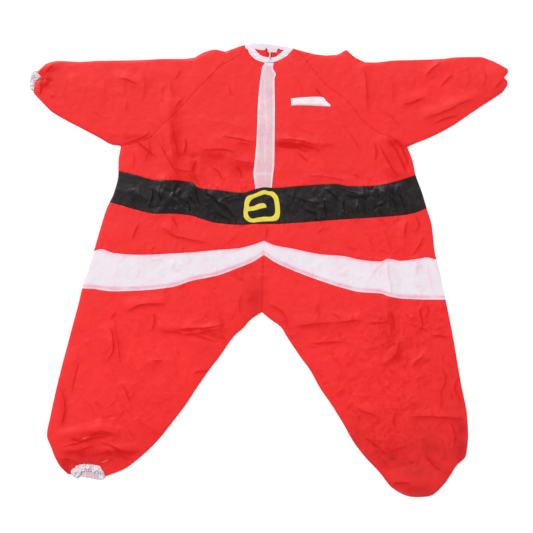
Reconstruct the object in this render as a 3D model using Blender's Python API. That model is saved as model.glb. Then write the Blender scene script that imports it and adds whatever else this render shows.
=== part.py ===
"""An adult's inflatable santa suit, let down and laid flat on its back, front up.

Metres, +Z up. +Y runs to the neck and +X to the wearer's left. The back layer lies on the floor at Z = 0
and the front layer lies on it. Each piece of cloth is a thin wall over a grid of points, which comes from
the seams around the piece. The seams are drawn on squared paper, measured from the middle of the suit.
"""
from collections import namedtuple
import math

import bmesh
import bpy
from mathutils import Vector
from mathutils.bvhtree import BVHTree
import numpy as np

# Driving dimensions
SUIT_WIDTH = 1.625          # from one cuff to the other
SQUARES_ACROSS = 478        # the drawing is this many squares wide
SQUARE = SUIT_WIDTH / SQUARES_ACROSS
DRAWING_MIDDLE = (-0.2, -0.2)   # the middle of the laid suit on the drawing, in squares

CLOTH = 0.0012              # thickness of the cloth with its seam turnings
SEAM_GAP = 0.0003           # between two pieces that are sewn together or lie on each other
HALF_GAP = SEAM_GAP / 2
BACK_TOP = CLOTH
SWELL = 0.0022              # how far the front layer rises over the back one, away from the edges
SWELL_REACH = 0.055         # the rise is spread over about this distance from the edge
FOLD_FADE = 0.020           # a fold dies away over this distance from the edge

# The grid of each piece
NECK_COLUMNS = 4            # from the zip to the raglan seam
RAGLAN_COLUMNS = 12         # down the raglan seam
HALF_COLUMNS = NECK_COLUMNS + RAGLAN_COLUMNS
BACK_NECK_COLUMNS = 6
BODICE_ROWS = 11
BELT_ROWS = 3
SKIRT_ROWS = 3
HEM_ROWS = 3
LEG_ROWS = 18
SLEEVE_RINGS = 15
BACK_COLUMNS = 6
BACK_LEG_ROWS = 9
CROTCH_SEAM_SHARE = 0.22    # the share of a leg's rows that lies along the crotch seam
BACK_BODICE_ROWS = 4

# Zip, slider and pull tab
ZIP_WIDTH = 0.008
ZIP_TOP = 212.4             # squares up: the top end of the zip, at the free edge of the collar
SLIDER_SIZE = (0.007, 0.0115, 0.0020)
SLIDER_MIDDLE_UP = 212.8    # squares up
BRIDGE_WIDTH = 0.0016
BRIDGE_POST = 0.0009
BRIDGE_INSIDE = (0.0020, 0.0019)    # length and height of the space under the bridge
PULL_CLEARANCE = 0.00035
PULL_PIN_RADIUS = 0.0006
PULL_WIDTH = 0.0040
PULL_THICKNESS = 0.0010
PULL_LENGTH = 0.0180
PULL_RING_INSIDE = 0.0030   # from the pin's axis to the far end of the ring
PIN_SIDES = 12

BUCKLE_THICKNESS = 0.0020

# How far the corners of the cut-outs are rounded, in squares
BUCKLE_CORNER = 3.2
BUCKLE_INNER_CORNER = 1.6
POCKET_CORNER = 0.8
LABEL_CORNER = 0.3
CORNER_SHARE = 0.4          # the largest share of a side that one rounded corner takes

# How finely curves and seams are worked out before they are divided into columns and rows
CURVE_STEPS = 12            # between two points of a curve
SEAM_SEARCH_STEPS = 40      # to find where a seam meets the side of the body
SMOOTH_ANGLE = math.radians(40)

# The elastic cuffs
RUFFLE_HEIGHT = 0.0022
RUFFLE_AT_SEAM = 0.35       # the share of that height that a ruffle has at the cuff's seam
ANKLE_RUFFLES = 9
WRIST_RUFFLES = 6
STEPS_PER_COLUMN = 2        # a cuff's columns for each column of the cloth that it is sewn to
GATHERS = 6                 # gathers in the cloth at an elastic cuff
GATHER_HEIGHT = 0.0030
GATHER_REACH = 0.14         # share of the leg's length over which the gathers run out

# How closely what lies on a panel follows it: the highest point within this distance counts
PLACKET_REACH = 0.008
PLACKET_ROWS = 26
PLACKET_COLUMNS = 4
WELT_REACH = 0.012
LABEL_REACH = 0.002
BUCKLE_REACH = 0.008

# The sides of the body and the outer sides of the legs, in squares.
# The right leg ends at its cuff, above the last row.
Sides = namedtuple("Sides", "up right left")
BODY_SIDES = (
    Sides(124, -148, 138),
    Sides(107, -150.5, 144),
    Sides(97, -150.5, 146),
    Sides(77, -155, 153),
    Sides(62, -162, 157.5),
    Sides(45, -167.5, 162.5),
    Sides(19, -175, 165.5),
    Sides(0, -180.5, 170),
    Sides(-19, -187, 174),
    Sides(-30, -189.5, 176.5),
    Sides(-62, -198, 183),
    Sides(-114, -211.5, 192),
    Sides(-146, -218.5, 198),
    Sides(-165, -222, 199),
    Sides(-178, -217.5, 198),
    Sides(-186, -214.5, 196.5),
    Sides(-196, -209, 187),
    Sides(-204, -201, 182),
    Sides(-213, -192, 176),
)
LEG_SIDE_END = {"right": -204, "left": -213}

# The inner sides of the legs, from the crotch down
INNER_LEGS = (
    Sides(-42, -7.3, -7.3),
    Sides(-50, -19, 2.5),
    Sides(-57, -25, 12),
    Sides(-66, -35, 17.5),
    Sides(-87, -50, 31.5),
    Sides(-100, -60, 41),
    Sides(-118, -72.5, 51),
    Sides(-134, -83, 62),
    Sides(-155, -99, 75),
    Sides(-171, -112, 84),
    Sides(-188, -130, 97),
    Sides(-199, -145, 107.5),
    Sides(-206, -163, 113.5),
)
CROTCH = (INNER_LEGS[0].right, INNER_LEGS[0].up)

# The sleeves, by the distance out from the middle line
NECK_OUT = 24               # where the raglan seams reach the collar
UNDERARM_OUT = {"right": 148, "left": 138}
Sleeves = namedtuple("Sleeves", "out right left")
SLEEVE_TOPS = (
    Sleeves(24, 225, 221.5),
    Sleeves(31, 223, 219.5),
    Sleeves(43, 218.3, 216.3),
    Sleeves(54, 220.3, 214.5),
    Sleeves(64, 218, 214.5),
    Sleeves(71, 214.5, 216),
    Sleeves(77, 211, 219.7),
    Sleeves(83, 211, 215),
    Sleeves(93, 211, 208),
    Sleeves(105, 211, 207.4),
    Sleeves(126, 210, 209.5),
    Sleeves(145, 209.5, 210),
    Sleeves(173, 209, 211),
    Sleeves(188, 208, 212.7),
    Sleeves(210, 209, 213),
    Sleeves(222, 206.5, 209.5),
    Sleeves(229.5, 200.5, 206),
    Sleeves(238.6, 196, 201),
)
SLEEVE_UNDERSIDES = (
    Sleeves(138, 118, 123),
    Sleeves(148, 124, 127.5),
    Sleeves(157, 125.5, 131),
    Sleeves(169, 132, 136.5),
    Sleeves(186, 141, 146),
    Sleeves(205, 151, 159),
    Sleeves(218, 159, 167.5),
    Sleeves(225, 166, 172),
    Sleeves(233.5, 175, 178),
    Sleeves(235.5, 177.5, 180),
)
RAGLANS = (
    Sleeves(24, 223.5, 221),
    Sleeves(33, 212.5, 214),
    Sleeves(51, 202, 191.5),
    Sleeves(59, 193, 183),
    Sleeves(71, 181, 175),
    Sleeves(83, 168, 164),
    Sleeves(92, 158.5, 151.5),
    Sleeves(101, 149.5, 143.5),
    Sleeves(111, 140, 136.5),
    Sleeves(119, 132, 134),
    Sleeves(131.5, 128, 126.5),
    Sleeves(138, 125.5, 123),
    Sleeves(148, 124, 120),
)
RIGHT_SLEEVE_END = ((-235.5, 177.5), (-229.5, 200.5))
LEFT_SLEEVE_END = ((233.5, 178), (238, 184.6), (238, 189), (235.3, 192.8), (238.6, 197), (238.6, 201))
LEFT_LEG_END = ((113.5, -206), (123, -217.5), (139, -226), (157, -226.5), (166, -223), (176, -213))

# The seams across the body: how far up the belt and the white hem band begin and end
Band = namedtuple("Band", "across top bottom")
BELT = (
    Band(-159, 101, 67.7),
    Band(-150, 99, 65.3),
    Band(-133, 95, 60.3),
    Band(-112, 89.8, 56.2),
    Band(-97, 89.8, 56.2),
    Band(-77, 87.5, 54.3),
    Band(-70, 82.2, 52),
    Band(-52, 80, 47),
    Band(-26, 77.3, 45),
    Band(-14, 80.7, 46),
    Band(-4, 82.6, 46),
    Band(5, 82, 46),
    Band(30, 84, 47.3),
    Band(66, 86, 50),
    Band(81, 83.8, 51),
    Band(103, 84.1, 52.3),
    Band(119, 86.6, 53.4),
    Band(135, 91, 55),
    Band(147, 95, 57.5),
    Band(158, 99, 62.1),
)
HEM_PEAK = -5               # squares across: the crotch seam, where the hem band peaks
HEM = (
    Band(-188, 17, -18.4),
    Band(-175, 19.2, -18.8),
    Band(-168, 21, -20),
    Band(-155, 17, -21.3),
    Band(-128, 15.2, -20.4),
    Band(-97, 16.5, -17),
    Band(-77, 17.7, -10.7),
    Band(-52, 20, -5.6),
    Band(-30, 21.8, 2.5),
    Band(-17, 25, 7.8),
    Band(HEM_PEAK, 29.2, 15.2),
    Band(6, 24.7, 7.8),
    Band(22, 21.7, 0.4),
    Band(53, 15.6, -11.3),
    Band(74, 14, -18),
    Band(91, 10.3, -22),
    Band(112, 8.5, -23.5),
    Band(119, 11.2, -26),
    Band(132, 9.2, -28.5),
    Band(148, 11, -29.3),
    Band(158, 12.6, -29.6),
    Band(167, 10.5, -29.6),
    Band(178, 9, -29.6),
)
PEAK_FLAT = 1.0             # squares either side of the peak that run level

# The collar: its sewn edge and its free edge on the front, and both edges at the back of the neck
FRONT_COLLAR_SEAM_RIGHT = ((-24, 223.5), (-20, 217), (-14, 211.2), (-4.5, 207.6), (1, 207.4))
FRONT_COLLAR_SEAM_LEFT = ((24, 221), (20, 216.5), (17, 213.6), (7, 208.6), (1, 207.4))
FRONT_COLLAR_FREE_RIGHT = ((-14.5, 221.2), (-12, 218), (-8, 214.5), (-3, 212.9), (1, 212.4))
FRONT_COLLAR_FREE_LEFT = ((15, 220), (10, 215.5), (6, 213), (1, 212.4))
BACK_COLLAR_FREE = ((-24, 225), (-14, 226.7), (1, 226), (16, 223.5), (24, 221.5))
BACK_COLLAR_SEAM = ((-14.5, 221.2), (15, 220))

# The zip runs down the middle of the front, and the placket covers it
Strip = namedtuple("Strip", "up right left")
ZIP_LINE = ((1, 212.4), (0.6, 206), (-2.6, 165), (-3.5, 129), (-5, 97), (-5.4, 82))
PLACKET = (
    Strip(207.0, -4.0, 4.6),
    Strip(201.5, -7.0, 4.0),
    Strip(195.5, -7.8, 6.8),
    Strip(191.0, -8.6, 5.4),
    Strip(165.0, -11.0, 5.8),
    Strip(129.0, -12.4, 5.5),
    Strip(105.0, -14.6, 5.2),
    Strip(97.0, -15.4, 4.2),
    Strip(82.5, -13.6, 2.8),
)
POCKET_WELT = ((22.1, 171.4), (35, 172.6), (52.5, 172.8), (57, 169), (61.7, 164.5), (61, 163.2),
               (47.7, 164), (35.5, 164.5), (22.3, 164.3))
NECK_LABEL = ((-1.3, 220.9), (8.0, 220.4), (7.6, 217.6), (-1.1, 217.7))

# The buckle, by its corners, and the prong that crosses it
BUCKLE_OUTSIDE = ((-23.5, 75.5), (-3, 80), (9.5, 78.7), (11.4, 62), (10.5, 48.7), (-8, 48.3), (-25, 47.2),
                  (-25.2, 60))
BUCKLE_INSIDE = ((-19.3, 71.2), (-3.4, 75.2), (5.2, 73.7), (6.6, 62), (6, 53.3), (-8, 53), (-20.4, 51.9),
                 (-20.6, 58.6), (-10, 61.2), (-2.6, 63.2), (-5.5, 66.9), (-9, 66.6), (-20.3, 63))

# The elastic cuffs that show, by the seam to the cloth and by the edge of the ruffle
AnkleCuff = namedtuple("AnkleCuff", "across seam front_edge back_edge")
ANKLE_CUFF = (
    AnkleCuff(-200.0, -203.0, -204.2, -205.0),
    AnkleCuff(-194.0, -197.5, -202.7, -206.5),
    AnkleCuff(-187.0, -194.5, -202.0, -206.2),
    AnkleCuff(-180.0, -194.0, -201.4, -207.2),
    AnkleCuff(-173.0, -195.2, -202.0, -209.0),
    AnkleCuff(-168.0, -198.2, -204.2, -209.0),
    AnkleCuff(-163.5, -205.0, -207.0, -208.0),
)
WristCuff = namedtuple("WristCuff", "up front_edge back_edge")
WRIST_CUFF = (
    WristCuff(178.5, -237.2, -237.6),
    WristCuff(182.0, -237.6, -239.2),
    WristCuff(187.0, -237.2, -239.2),
    WristCuff(191.0, -236.2, -238.8),
    WristCuff(195.0, -234.8, -237.6),
    WristCuff(198.8, -233.8, -234.4),
)

# The cuffs that are turned in: the middle of each one's seam, its turn in degrees and its size in squares
HiddenCuff = namedtuple("HiddenCuff", "name across up turn half_width height")
HIDDEN_CUFFS = (
    HiddenCuff("ankle_cuff_left", 146, -213, 0, 17.5, 5.5),
    HiddenCuff("wrist_cuff_left", 229, 190, 90, 11.0, 5.5),
)
HIDDEN_CUFF_COLUMNS = 6

# The largest folds of the front layer: from one point to another in squares, and the size in millimetres
Fold = namedtuple("Fold", "across up to_across to_up wide high")
FOLDS = (
    Fold(-99, 168, -93, 100, 24, 4.5),       # down the right front
    Fold(-52, 131, -18, 126, 20, 3.5),       # from the placket across the right front
    Fold(-40, 112, -17, 106, 18, 4.0),
    Fold(-70, 108, -73, 84, 20, 4.5),        # runs into the step in the belt
    Fold(10, 131, 52, 123, 20, 3.5),         # from the placket across the left front
    Fold(40, 95, 78, 90, 18, 3.0),
    Fold(112, 128, 118, 104, 20, 5.0),       # the loose corner under the left arm
    Fold(122, 100, 138, 96, 18, 4.0),
    Fold(-142, 78, -128, 72, 18, 3.0),       # belt
    Fold(-105, 88, -106, 62, 18, 3.5),
    Fold(-68, 78, -38, 58, 20, 3.5),
    Fold(58, 80, 60, 56, 20, 3.0),
    Fold(78, 80, 75, 56, 20, 3.5),
    Fold(93, 78, 90, 57, 18, 3.5),
    Fold(118, 82, 112, 60, 20, 3.5),
    Fold(133, 84, 136, 62, 18, 3.5),
    Fold(-100, 42, -62, 30, 22, 3.0),        # skirt
    Fold(137, 48, 133, 26, 20, 3.5),
    Fold(120, 8, 124, -26, 20, 4.5),         # the step in the hem band
    Fold(148, 10, 146, -8, 18, 3.0),
    Fold(-140, -34, -108, -30, 20, 4.0),     # right leg
    Fold(-160, -60, -154, -84, 22, 4.5),
    Fold(-108, -56, -52, -58, 20, 4.0),
    Fold(-84, -68, -52, -76, 20, 3.5),
    Fold(-146, -114, -139, -134, 20, 3.5),
    Fold(-204, -165, -170, -157, 22, 5.5),
    Fold(-170, -157, -148, -159, 22, 5.0),
    Fold(-200, -179, -176, -171, 18, 4.0),
    Fold(-164, -182, -134, -176, 18, 3.5),
    Fold(30, -52, 88, -48, 22, 4.0),         # left leg
    Fold(118, -30, 120, -62, 20, 4.5),
    Fold(133, -72, 118, -90, 20, 4.5),
    Fold(155, -84, 144, -94, 18, 3.5),
    Fold(86, -134, 104, -141, 18, 3.0),
    Fold(152, -144, 190, -147, 20, 4.0),
    Fold(158, 196, 172, 205, 18, 3.5),       # left sleeve
    Fold(137, 170, 156, 175, 18, 3.0),
    Fold(158, 155, 184, 165, 22, 5.0),
    Fold(184, 165, 206, 175, 22, 4.5),
    Fold(94, 202, 99, 180, 20, 3.5),
    Fold(-150, 194, -132, 188, 20, 3.0),     # right sleeve
    Fold(-196, 190, -192, 170, 20, 3.0),
    Fold(132, -212, 160, -212, 52, 6.5),     # over the ankle cuff that is turned in
    Fold(226, 187, 227, 194, 44, 6.5),       # over the wrist cuff that is turned in
)

# Colours, linear RGB, with the roughness
Finish = namedtuple("Finish", "colour roughness metallic")
RED_TAFFETA = Finish((0.80, 0.035, 0.035), 0.55, 0.0)
WHITE_TAFFETA = Finish((0.82, 0.78, 0.84), 0.60, 0.0)
SHEER_WHITE = Finish((0.78, 0.52, 0.58), 0.60, 0.0)
BLACK_BELTING = Finish((0.03, 0.026, 0.027), 0.45, 0.0)
YELLOW_FELT = Finish((0.78, 0.70, 0.10), 0.80, 0.0)
WHITE_ELASTIC = Finish((0.80, 0.76, 0.82), 0.70, 0.0)
ZIP_METAL = Finish((0.50, 0.52, 0.45), 0.35, 0.9)
ZIP_CLOTH = Finish((0.75, 0.73, 0.78), 0.70, 0.0)

for leftover in list(bpy.data.objects):
    bpy.data.objects.remove(leftover, do_unlink=True)


def material(name, finish):
    """A plain material of its own for one piece."""
    made = bpy.data.materials.new(name)
    made.use_nodes = True
    shader = made.node_tree.nodes["Principled BSDF"]
    shader.inputs["Base Color"].default_value = (*finish.colour, 1.0)
    shader.inputs["Roughness"].default_value = finish.roughness
    shader.inputs["Metallic"].default_value = finish.metallic
    return made


def place(points):
    """Turn points of the drawing into metres from the middle of the laid suit."""
    return (np.asarray(points, dtype=float) - DRAWING_MIDDLE) * SQUARE


def slopes(across, values):
    """Slopes for a smooth curve through a table's rows that never swings past a row."""
    steps = np.diff(values) / np.diff(across)
    result = np.empty(len(values))
    result[0], result[-1] = steps[0], steps[-1]
    for row in range(1, len(values) - 1):
        before, after = steps[row - 1], steps[row]
        result[row] = 0.0 if before * after <= 0 else 2 * before * after / (before + after)
    return result


def read(across, values, where):
    """Read a table smoothly between its rows."""
    order = np.argsort(across)
    across, values = np.asarray(across, float)[order], np.asarray(values, float)[order]
    tangents = slopes(across, values)
    where = np.clip(np.asarray(where, float), across[0], across[-1])
    row = np.clip(np.searchsorted(across, where) - 1, 0, len(across) - 2)
    width = across[row + 1] - across[row]
    t = (where - across[row]) / width
    return ((2 * t**3 - 3 * t**2 + 1) * values[row] + (t**3 - 2 * t**2 + t) * width * tangents[row]
            + (3 * t**2 - 2 * t**3) * values[row + 1] + (t**3 - t**2) * width * tangents[row + 1])


def column(table, name):
    return [getattr(row, name) for row in table]


def smooth_line(points, count):
    """A smooth line through a few points, as count equal stretches."""
    points = np.asarray(points, float)
    if len(points) == 2:
        return points[0] + np.linspace(0, 1, count + 1)[:, None] * (points[1] - points[0])
    ends = np.vstack([2 * points[0] - points[1], points, 2 * points[-1] - points[-2]])
    fine = []
    for i in range(1, len(ends) - 2):
        before, start, stop, after = ends[i - 1:i + 3]
        for t in np.linspace(0, 1, CURVE_STEPS, endpoint=False):
            fine.append(0.5 * (2 * start + (stop - before) * t
                               + (2 * before - 5 * start + 4 * stop - after) * t**2
                               + (3 * start - before - 3 * stop + after) * t**3))
    fine.append(points[-1])
    return even(np.array(fine), count)


def even(line, count):
    """The same line with its points at equal distances."""
    lengths = np.concatenate([[0], np.cumsum(np.linalg.norm(np.diff(line, axis=0), axis=1))])
    wanted = np.linspace(0, lengths[-1], count + 1)
    return np.column_stack([np.interp(wanted, lengths, line[:, i]) for i in range(2)])


def side_line(table, side, top, bottom, rows):
    """Down one side of the body or of a leg, from one height to another."""
    heights = np.linspace(top, bottom, 8 * rows + 1)
    return even(np.column_stack([read(column(table, "up"), column(table, side), heights), heights]), rows)


def sleeve_line(table, side, start, stop, count):
    """Along a sleeve, between two distances out from the middle."""
    sign = -1 if side == "right" else 1
    outs = np.linspace(start, stop, 12 * count + 1)
    return even(np.column_stack([sign * outs, read(column(table, "out"), column(table, side), outs)]), count)


def seam_up(table, edge, side, across):
    """How far up a seam across the body runs. The two halves of the hem band meet at a sharp peak."""
    rows = table
    if table is HEM and side == "right":
        rows = [row for row in table if row.across <= HEM_PEAK]
    elif table is HEM:
        rows = [row for row in table if row.across >= HEM_PEAK]
    return read(column(rows, "across"), column(rows, edge), across)


def side_of_seam(table, edge, side):
    """Where a seam across the body meets its side, found by going back and forth between the two."""
    across = table[0].across if side == "right" else table[-1].across
    for _ in range(SEAM_SEARCH_STEPS):
        up = seam_up(table, edge, side, across)
        across = read(column(BODY_SIDES, "up"), column(BODY_SIDES, side), up)
    return float(across), float(up)


def half_seam(table, edge, side, inner_across):
    """A seam from the side of the body to a place near its middle, as HALF_COLUMNS stretches."""
    outer = side_of_seam(table, edge, side)[0]
    across = np.linspace(outer, inner_across, HALF_COLUMNS + 1)
    return np.column_stack([across, seam_up(table, edge, side, across)])


def zip_across(up):
    """Where the zip runs at a height."""
    line = np.array(ZIP_LINE)
    return read(line[:, 1], line[:, 0], up)


# How far the two fronts end from the line of the zip, in squares
FRONT_EDGE = (ZIP_WIDTH / 2 + HALF_GAP) / SQUARE
BELT_MIDDLE = float(zip_across(ZIP_LINE[-1][1]))


def whole_seam(table, edge):
    """A seam from the right side of the body to the left one, with a short stretch at the middle."""
    middle, apart = (HEM_PEAK, PEAK_FLAT) if table is HEM else (BELT_MIDDLE, FRONT_EDGE)
    right = half_seam(table, edge, "right", middle - apart)
    left = half_seam(table, edge, "left", middle + apart)
    if table is HEM:
        left[-1, 1] = right[-1, 1]
    return np.vstack([right, left[::-1]])


def parted_seam(edge, side):
    """One half of a hem band's seam, from the side to the crotch seam on its level top."""
    whole = whole_seam(HEM, edge)
    half = whole[:HALF_COLUMNS + 1] if side == "right" else whole[::-1][:HALF_COLUMNS + 1]
    return np.vstack([half, [[HEM_PEAK, half[-1, 1]]]])


def patch(top, bottom, start, end):
    """Fill in between four lines: two that run across and two that run down."""
    top, bottom, start, end = (np.asarray(line, float) for line in (top, bottom, start, end))
    u = np.linspace(0, 1, len(top))[None, :, None]
    v = np.linspace(0, 1, len(start))[:, None, None]
    corners = ((1 - u) * (1 - v) * top[0] + u * (1 - v) * top[-1]
               + (1 - u) * v * bottom[0] + u * v * bottom[-1])
    return (1 - v) * top[None] + v * bottom[None] + (1 - u) * start[:, None] + u * end[:, None] - corners


def drawn_in(grid, **amounts):
    """Move a grid's edges inwards, each by its own amount in metres, so that seams keep their gap."""
    moved = grid.copy()
    edges = {"top": (grid[0], grid[1], np.s_[0, :]), "bottom": (grid[-1], grid[-2], np.s_[-1, :]),
             "start": (grid[:, 0], grid[:, 1], np.s_[:, 0]), "end": (grid[:, -1], grid[:, -2], np.s_[:, -1])}
    for edge, amount in amounts.items():
        line, next_line, place_in_grid = edges[edge]
        along = np.gradient(line, axis=0)
        normal = np.column_stack([-along[:, 1], along[:, 0]])
        normal /= np.linalg.norm(normal, axis=1)[:, None]
        inward = np.sum(normal * (next_line - line), axis=1)
        normal[inward < 0] *= -1
        moved[place_in_grid] += normal * amount
    return moved


def raglan(side):
    """The raglan seam from the underarm to the neck."""
    return sleeve_line(RAGLANS, side, UNDERARM_OUT[side], NECK_OUT, RAGLAN_COLUMNS)


def neck_seam(side):
    """The collar's seam on the front, from the raglan seam to the zip."""
    points = np.array(FRONT_COLLAR_SEAM_RIGHT if side == "right" else FRONT_COLLAR_SEAM_LEFT)
    return smooth_line(points, NECK_COLUMNS)


def leg_side(side, top):
    """Down the outer side of a leg."""
    return side_line(BODY_SIDES, side, top, LEG_SIDE_END[side], LEG_ROWS)


def inner_leg(side, top, rows):
    """Down the crotch seam and the inner side of a leg, with a point at the crotch."""
    seam_rows = round(rows * CROTCH_SEAM_SHARE)
    drop = smooth_line([(HEM_PEAK, top), CROTCH], seam_rows)
    inside = side_line(INNER_LEGS, side, INNER_LEGS[0].up, INNER_LEGS[-1].up, rows - seam_rows)
    return np.vstack([drop, inside[1:]])


def leg_end(side):
    """The lower edge of the front of a leg, from the outer side to the inner one."""
    if side == "left":
        return smooth_line(LEFT_LEG_END, HALF_COLUMNS + 1)[::-1]
    end = LEG_SIDE_END["right"]
    outer = read(column(BODY_SIDES, "up"), column(BODY_SIDES, "right"), end)
    across = np.linspace(outer, INNER_LEGS[-1].right, HALF_COLUMNS + 2)
    line = np.column_stack([across, read(column(ANKLE_CUFF, "across"), column(ANKLE_CUFF, "seam"), across)])
    line[0, 1], line[-1, 1] = end, INNER_LEGS[-1].up
    return line


def outline():
    """The edge of the front layer all round, in metres: the front lies lowest along it."""
    right_under, right_over = (abs(point[0]) for point in RIGHT_SLEEVE_END)
    left_under, left_over = LEFT_SLEEVE_END[0][0], LEFT_SLEEVE_END[-1][0]
    waist, foot = BODY_SIDES[0].up, INNER_LEGS[-1].up
    run = [
        smooth_line(RIGHT_SLEEVE_END, 6),
        sleeve_line(SLEEVE_TOPS, "right", right_over, NECK_OUT, 40),
        smooth_line(FRONT_COLLAR_SEAM_RIGHT, 12),
        smooth_line(FRONT_COLLAR_SEAM_LEFT[::-1], 12),
        sleeve_line(SLEEVE_TOPS, "left", NECK_OUT, left_over, 40),
        smooth_line(LEFT_SLEEVE_END[::-1], 8),
        sleeve_line(SLEEVE_UNDERSIDES, "left", left_under, UNDERARM_OUT["left"], 20),
        side_line(BODY_SIDES, "left", waist, LEG_SIDE_END["left"], 40),
        smooth_line(LEFT_LEG_END[::-1], 12),
        side_line(INNER_LEGS, "left", foot, CROTCH[1], 30),
        side_line(INNER_LEGS, "right", CROTCH[1], foot, 30),
        leg_end("right")[::-1],
        side_line(BODY_SIDES, "right", LEG_SIDE_END["right"], waist, 40),
        sleeve_line(SLEEVE_UNDERSIDES, "right", UNDERARM_OUT["right"], right_under, 20),
    ]
    return place(np.vstack(run))


OUTLINE = outline()


def from_edge(points):
    """Distance from the edge of the front layer."""
    start, stop = OUTLINE, np.roll(OUTLINE, -1, axis=0)
    run = stop - start
    length = np.maximum(np.sum(run**2, axis=1), 1e-12)
    offset = points[:, None] - start[None]
    share = np.clip(np.sum(offset * run[None], axis=2) / length[None], 0, 1)
    return np.min(np.linalg.norm(offset - share[:, :, None] * run[None], axis=2), axis=1)


def folds(points):
    """Height that the folds add at each point."""
    total = np.zeros(len(points))
    for fold in FOLDS:
        start, stop = place([(fold.across, fold.up), (fold.to_across, fold.to_up)])
        run = stop - start
        share = np.clip(((points - start) @ run) / (run @ run), 0, 1)
        away = np.linalg.norm(points - start - share[:, None] * run, axis=1)
        total += fold.high / 1000 * np.exp(-(away / (fold.wide / 1000)) ** 2)
    return total


def front_under(grid):
    """Height of the underside of the front layer over a grid of points."""
    points = grid.reshape(-1, 2)
    edge = from_edge(points)
    swell = SWELL * (1 - np.exp(-edge / SWELL_REACH))
    fade = np.clip(edge / FOLD_FADE, 0, 1)
    return (BACK_TOP + SEAM_GAP + swell + fade * folds(points)).reshape(grid.shape[:2])


def add_object(name, verts, faces, finish):
    """Make a closed mesh object with its faces pointing out."""
    mesh = bpy.data.meshes.new(name)
    mesh.from_pydata([tuple(v) for v in verts], [], [tuple(f) for f in faces])
    shape = bmesh.new()
    shape.from_mesh(mesh)
    bmesh.ops.recalc_face_normals(shape, faces=shape.faces)
    shape.to_mesh(mesh)
    shape.free()
    mesh.shade_smooth()
    mesh.set_sharp_from_angle(angle=SMOOTH_ANGLE)
    mesh.materials.append(material(name, finish))
    made = bpy.data.objects.new(name, mesh)
    bpy.context.collection.objects.link(made)
    return made


def sheet(name, grid, under, thickness, finish):
    """A wall of cloth over a grid of points, from its underside up."""
    rows, columns = under.shape
    flat = np.dstack([grid, under]).reshape(-1, 3)
    verts = np.vstack([flat, flat + (0, 0, thickness)])
    lift = rows * columns
    faces = []
    for r in range(rows - 1):
        for c in range(columns - 1):
            a, b = r * columns + c, r * columns + c + 1
            d, e = a + columns, b + columns
            faces += [(a, d, e, b), (a + lift, b + lift, e + lift, d + lift)]
    rim = ([c for c in range(columns)] + [r * columns + columns - 1 for r in range(1, rows)]
           + [(rows - 1) * columns + c for c in range(columns - 2, -1, -1)]
           + [r * columns for r in range(rows - 2, 0, -1)])
    for i, a in enumerate(rim):
        b = rim[(i + 1) % len(rim)]
        faces.append((a, b, b + lift, a + lift))
    return add_object(name, verts, faces, finish)


def flat_tube(name, front, back, front_rise, base, finish):
    """A tube pressed flat: rings of front points over back points, open at both ends."""
    rings, columns = front_rise.shape

    def shrunk(grid):
        """The same grid with its two side edges moved in by the cloth's thickness."""
        inner = grid.copy()
        for edge, beside in ((0, 1), (-1, -2)):
            inward = grid[:, beside] - grid[:, edge]
            inner[:, edge] += inward * CLOTH / np.linalg.norm(inward, axis=1)[:, None]
        return inner

    inner_front, inner_back = shrunk(front), shrunk(back)
    inner_front[:, [0, -1]] = inner_back[:, [0, -1]]
    verts = []
    for r in range(rings):
        outside = [(*front[r, c], front_rise[r, c] + CLOTH) for c in range(columns)]
        outside += [(*back[r, c], base) for c in reversed(range(columns))]
        inside = [(*inner_front[r, c], front_rise[r, c]) for c in range(columns)]
        inside += [(*inner_back[r, c], base + CLOTH) for c in reversed(range(columns))]
        verts += outside + inside
    ring = 4 * columns
    loop = 2 * columns
    faces = []
    for r in range(rings - 1):
        for start in (0, loop):
            for c in range(loop):
                a, b = r * ring + start + c, r * ring + start + (c + 1) % loop
                faces.append((a, b, b + ring, a + ring))
    for r in (0, rings - 1):
        for c in range(loop):
            a, b = r * ring + c, r * ring + (c + 1) % loop
            faces.append((a, b, b + loop, a + loop))
    return add_object(name, verts, faces, finish)


def surface_of(*objects):
    """Search trees of some pieces, for what lies on them."""
    trees = []
    for made in objects:
        made.data.calc_loop_triangles()
        triangles = [tuple(t.vertices) for t in made.data.loop_triangles]
        trees.append(BVHTree.FromPolygons([v.co.copy() for v in made.data.vertices], triangles))
    return trees


def height_on(trees, points, reach):
    """The highest point of the pieces below, within a short reach of each point."""
    heights = []
    for x, y in points:
        found = [0.0]
        for dx, dy in ((0, 0), (reach, 0), (-reach, 0), (0, reach), (0, -reach)):
            for tree in trees:
                hit = tree.ray_cast(Vector((x + dx, y + dy, 1.0)), Vector((0, 0, -1)))[0]
                if hit:
                    found.append(hit.z)
        heights.append(max(found))
    return np.array(heights)


def cut_out(name, loops, trees, thickness, reach, finish):
    """A flat cut-out laid on the pieces below it: an outer loop, and a loop for each hole."""
    points = np.vstack(loops)
    under = height_on(trees, points, reach) + SEAM_GAP
    shape = bmesh.new()
    low = [shape.verts.new((x, y, z)) for (x, y), z in zip(points, under)]
    first = 0
    for loop in loops:
        for i in range(len(loop)):
            shape.edges.new((low[first + i], low[first + (i + 1) % len(loop)]))
        first += len(loop)
    bmesh.ops.triangle_fill(shape, use_beauty=True, edges=shape.edges[:], normal=(0, 0, 1))
    shape.verts.index_update()
    triangles = [tuple(v.index for v in face.verts) for face in shape.faces]
    shape.free()
    count = len(points)
    verts = np.vstack([np.column_stack([points, under]), np.column_stack([points, under + thickness])])
    faces = triangles + [tuple(i + count for i in reversed(t)) for t in triangles]
    first = 0
    for loop in loops:
        for i in range(len(loop)):
            a, b = first + i, first + (i + 1) % len(loop)
            faces.append((a, b, b + count, a + count))
        first += len(loop)
    return add_object(name, verts, faces, finish)


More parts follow.
